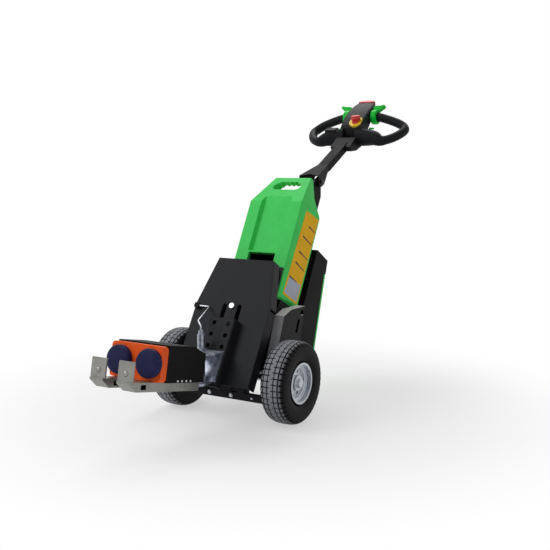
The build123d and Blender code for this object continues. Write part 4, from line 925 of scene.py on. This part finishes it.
class TugStudio(bpy.types.Operator):
    """Sets the floor, the soft lights, the pale world and the camera"""

    bl_idname = "tug.studio"
    bl_label = "Studio"

    def execute(self, context):
        scene = context.scene
        white = (1, 1, 1, 1)
        reach = 12.0
        floor_mesh = mesh_of("studio_floor", [(-reach, -reach, 0), (reach, -reach, 0), (reach, reach, 0),
                                              (-reach, reach, 0)], [(0, 1, 2, 3)])
        floor = bpy.data.objects.new("studio_floor", floor_mesh)
        scene.collection.objects.link(floor)
        # matt paper that keeps the shadow; away from the object it turns to plain white for direct rays,
        # so no horizon shows
        paper = bpy.data.materials.new("pale_paper")
        tree = cleared_tree(paper)
        shader = add(tree, "ShaderNodeBsdfPrincipled", in_Roughness=0.9, in_Base_Color=linear("#fafafa"))
        where = add(tree, "ShaderNodeTexCoord").outputs["Object"]
        far = maths(tree, "LENGTH", where, kind="ShaderNodeVectorMath")
        away = add(tree, "ShaderNodeMapRange", {"Value": far}, interpolation_type="SMOOTHSTEP", in_From_Min=0.45,
                   in_From_Max=1.2, in_To_Min=0.5)
        seen = maths(tree, "MULTIPLY", away.outputs["Result"], direct_rays(tree))
        glow = add(tree, "ShaderNodeEmission", in_Strength=1.0, in_Color=white)
        blend = add(tree, "ShaderNodeMixShader", {"Fac": seen, 1: shader.outputs[0], 2: glow.outputs[0]})
        add(tree, "ShaderNodeOutputMaterial", {0: blend.outputs[0]})
        floor_mesh.materials.append(paper)

        # the world lights the object dimly, and is white where it is seen directly
        world = bpy.data.worlds.new("pale_studio")
        scene.world = world
        tree = cleared_tree(world)
        dim = add(tree, "ShaderNodeBackground", in_Strength=0.36, in_Color=white)
        bright = add(tree, "ShaderNodeBackground", in_Strength=1.0, in_Color=white)
        mix = add(tree, "ShaderNodeMixShader", {"Fac": direct_rays(tree), 1: dim.outputs[0], 2: bright.outputs[0]})
        add(tree, "ShaderNodeOutputWorld", {0: mix.outputs[0]})

        lamps = (
            # name, place, aim, size, watts
            ("key_light", (-2.4, -2.6, 3.2), (0, -0.1, 0.5), 2.4, 72),
            ("fill_light", (3.4, -1.6, 1.8), (0, 0, 0.4), 2.6, 2.5),
            ("top_light", (-0.9, 1.9, 3.2), (0, 0.1, 0.5), 1.6, 34),
        )
        for name, place, aim, size, watts in lamps:
            lamp = bpy.data.lights.new(name, "AREA")
            lamp.size, lamp.energy = size, watts
            holder = bpy.data.objects.new(name, lamp)
            scene.collection.objects.link(holder)
            holder.location = place
            holder.rotation_euler = (Vector(aim) - Vector(place)).to_track_quat("-Z", "Y").to_euler()

        # camera place in millimetres and its turn and tilt in degrees, fitted to the photo's wheel outlines
        camera_place, turn_by, tilt_by = (1518.8, -2242.6, 788.2), 31.389, 7.114
        camera_data = bpy.data.cameras.new("photo_view")
        camera_data.sensor_width = 36
        camera_data.lens = scene.tug_sizes.lens
        camera_data.clip_end = 60
        camera = bpy.data.objects.new("photo_view", camera_data)
        scene.collection.objects.link(camera)
        (turn_c, turn_s), (tilt_c, tilt_s) = cos_sin(turn_by), cos_sin(tilt_by)
        forward = Vector((-turn_s * tilt_c, turn_c * tilt_c, -tilt_s))
        right = Vector((turn_c, turn_s, 0))
        facing = Matrix((right, right.cross(forward), -forward)).transposed().to_4x4()
        camera.matrix_world = Matrix.Translation(Vector(at(*camera_place))) @ facing
        scene.camera = camera
        scene.view_settings.view_transform = "Standard"
        return {"FINISHED"}


class TugPanel(bpy.types.Panel):
    """Lists the tug's steps and values"""

    bl_idname = "VIEW3D_PT_tug"
    bl_label = "Tug"
    bl_space_type = "VIEW_3D"
    bl_region_type = "UI"
    bl_category = "Tug"

    def draw(self, context):
        for step in STEPS:
            self.layout.operator(step.bl_idname)
        for group in (context.scene.tug_sizes, context.scene.tug_colours):
            for name in group.bl_rna.properties.keys():
                if name not in ("rna_type", "name"):
                    self.layout.prop(group, name)


STEPS = (TugStudio, TugFinishes, TugTyres, TugBattery, TugLabel, TugHead, TugFork, TugCoupling, TugFasteners)
CLASSES = (TugColours, TugSizes) + STEPS + (TugPanel,)


def register():
    for item in CLASSES:
        bpy.utils.register_class(item)
    bpy.types.Scene.tug_sizes = bpy.props.PointerProperty(type=TugSizes)
    bpy.types.Scene.tug_colours = bpy.props.PointerProperty(type=TugColours)


def unregister():
    del bpy.types.Scene.tug_colours
    del bpy.types.Scene.tug_sizes
    for item in reversed(CLASSES):
        bpy.utils.unregister_class(item)


def main():
    register()
    for step in STEPS:
        family, name = step.bl_idname.split(".")
        getattr(getattr(bpy.ops, family), name)()


if __name__ == "__main__":
    main()
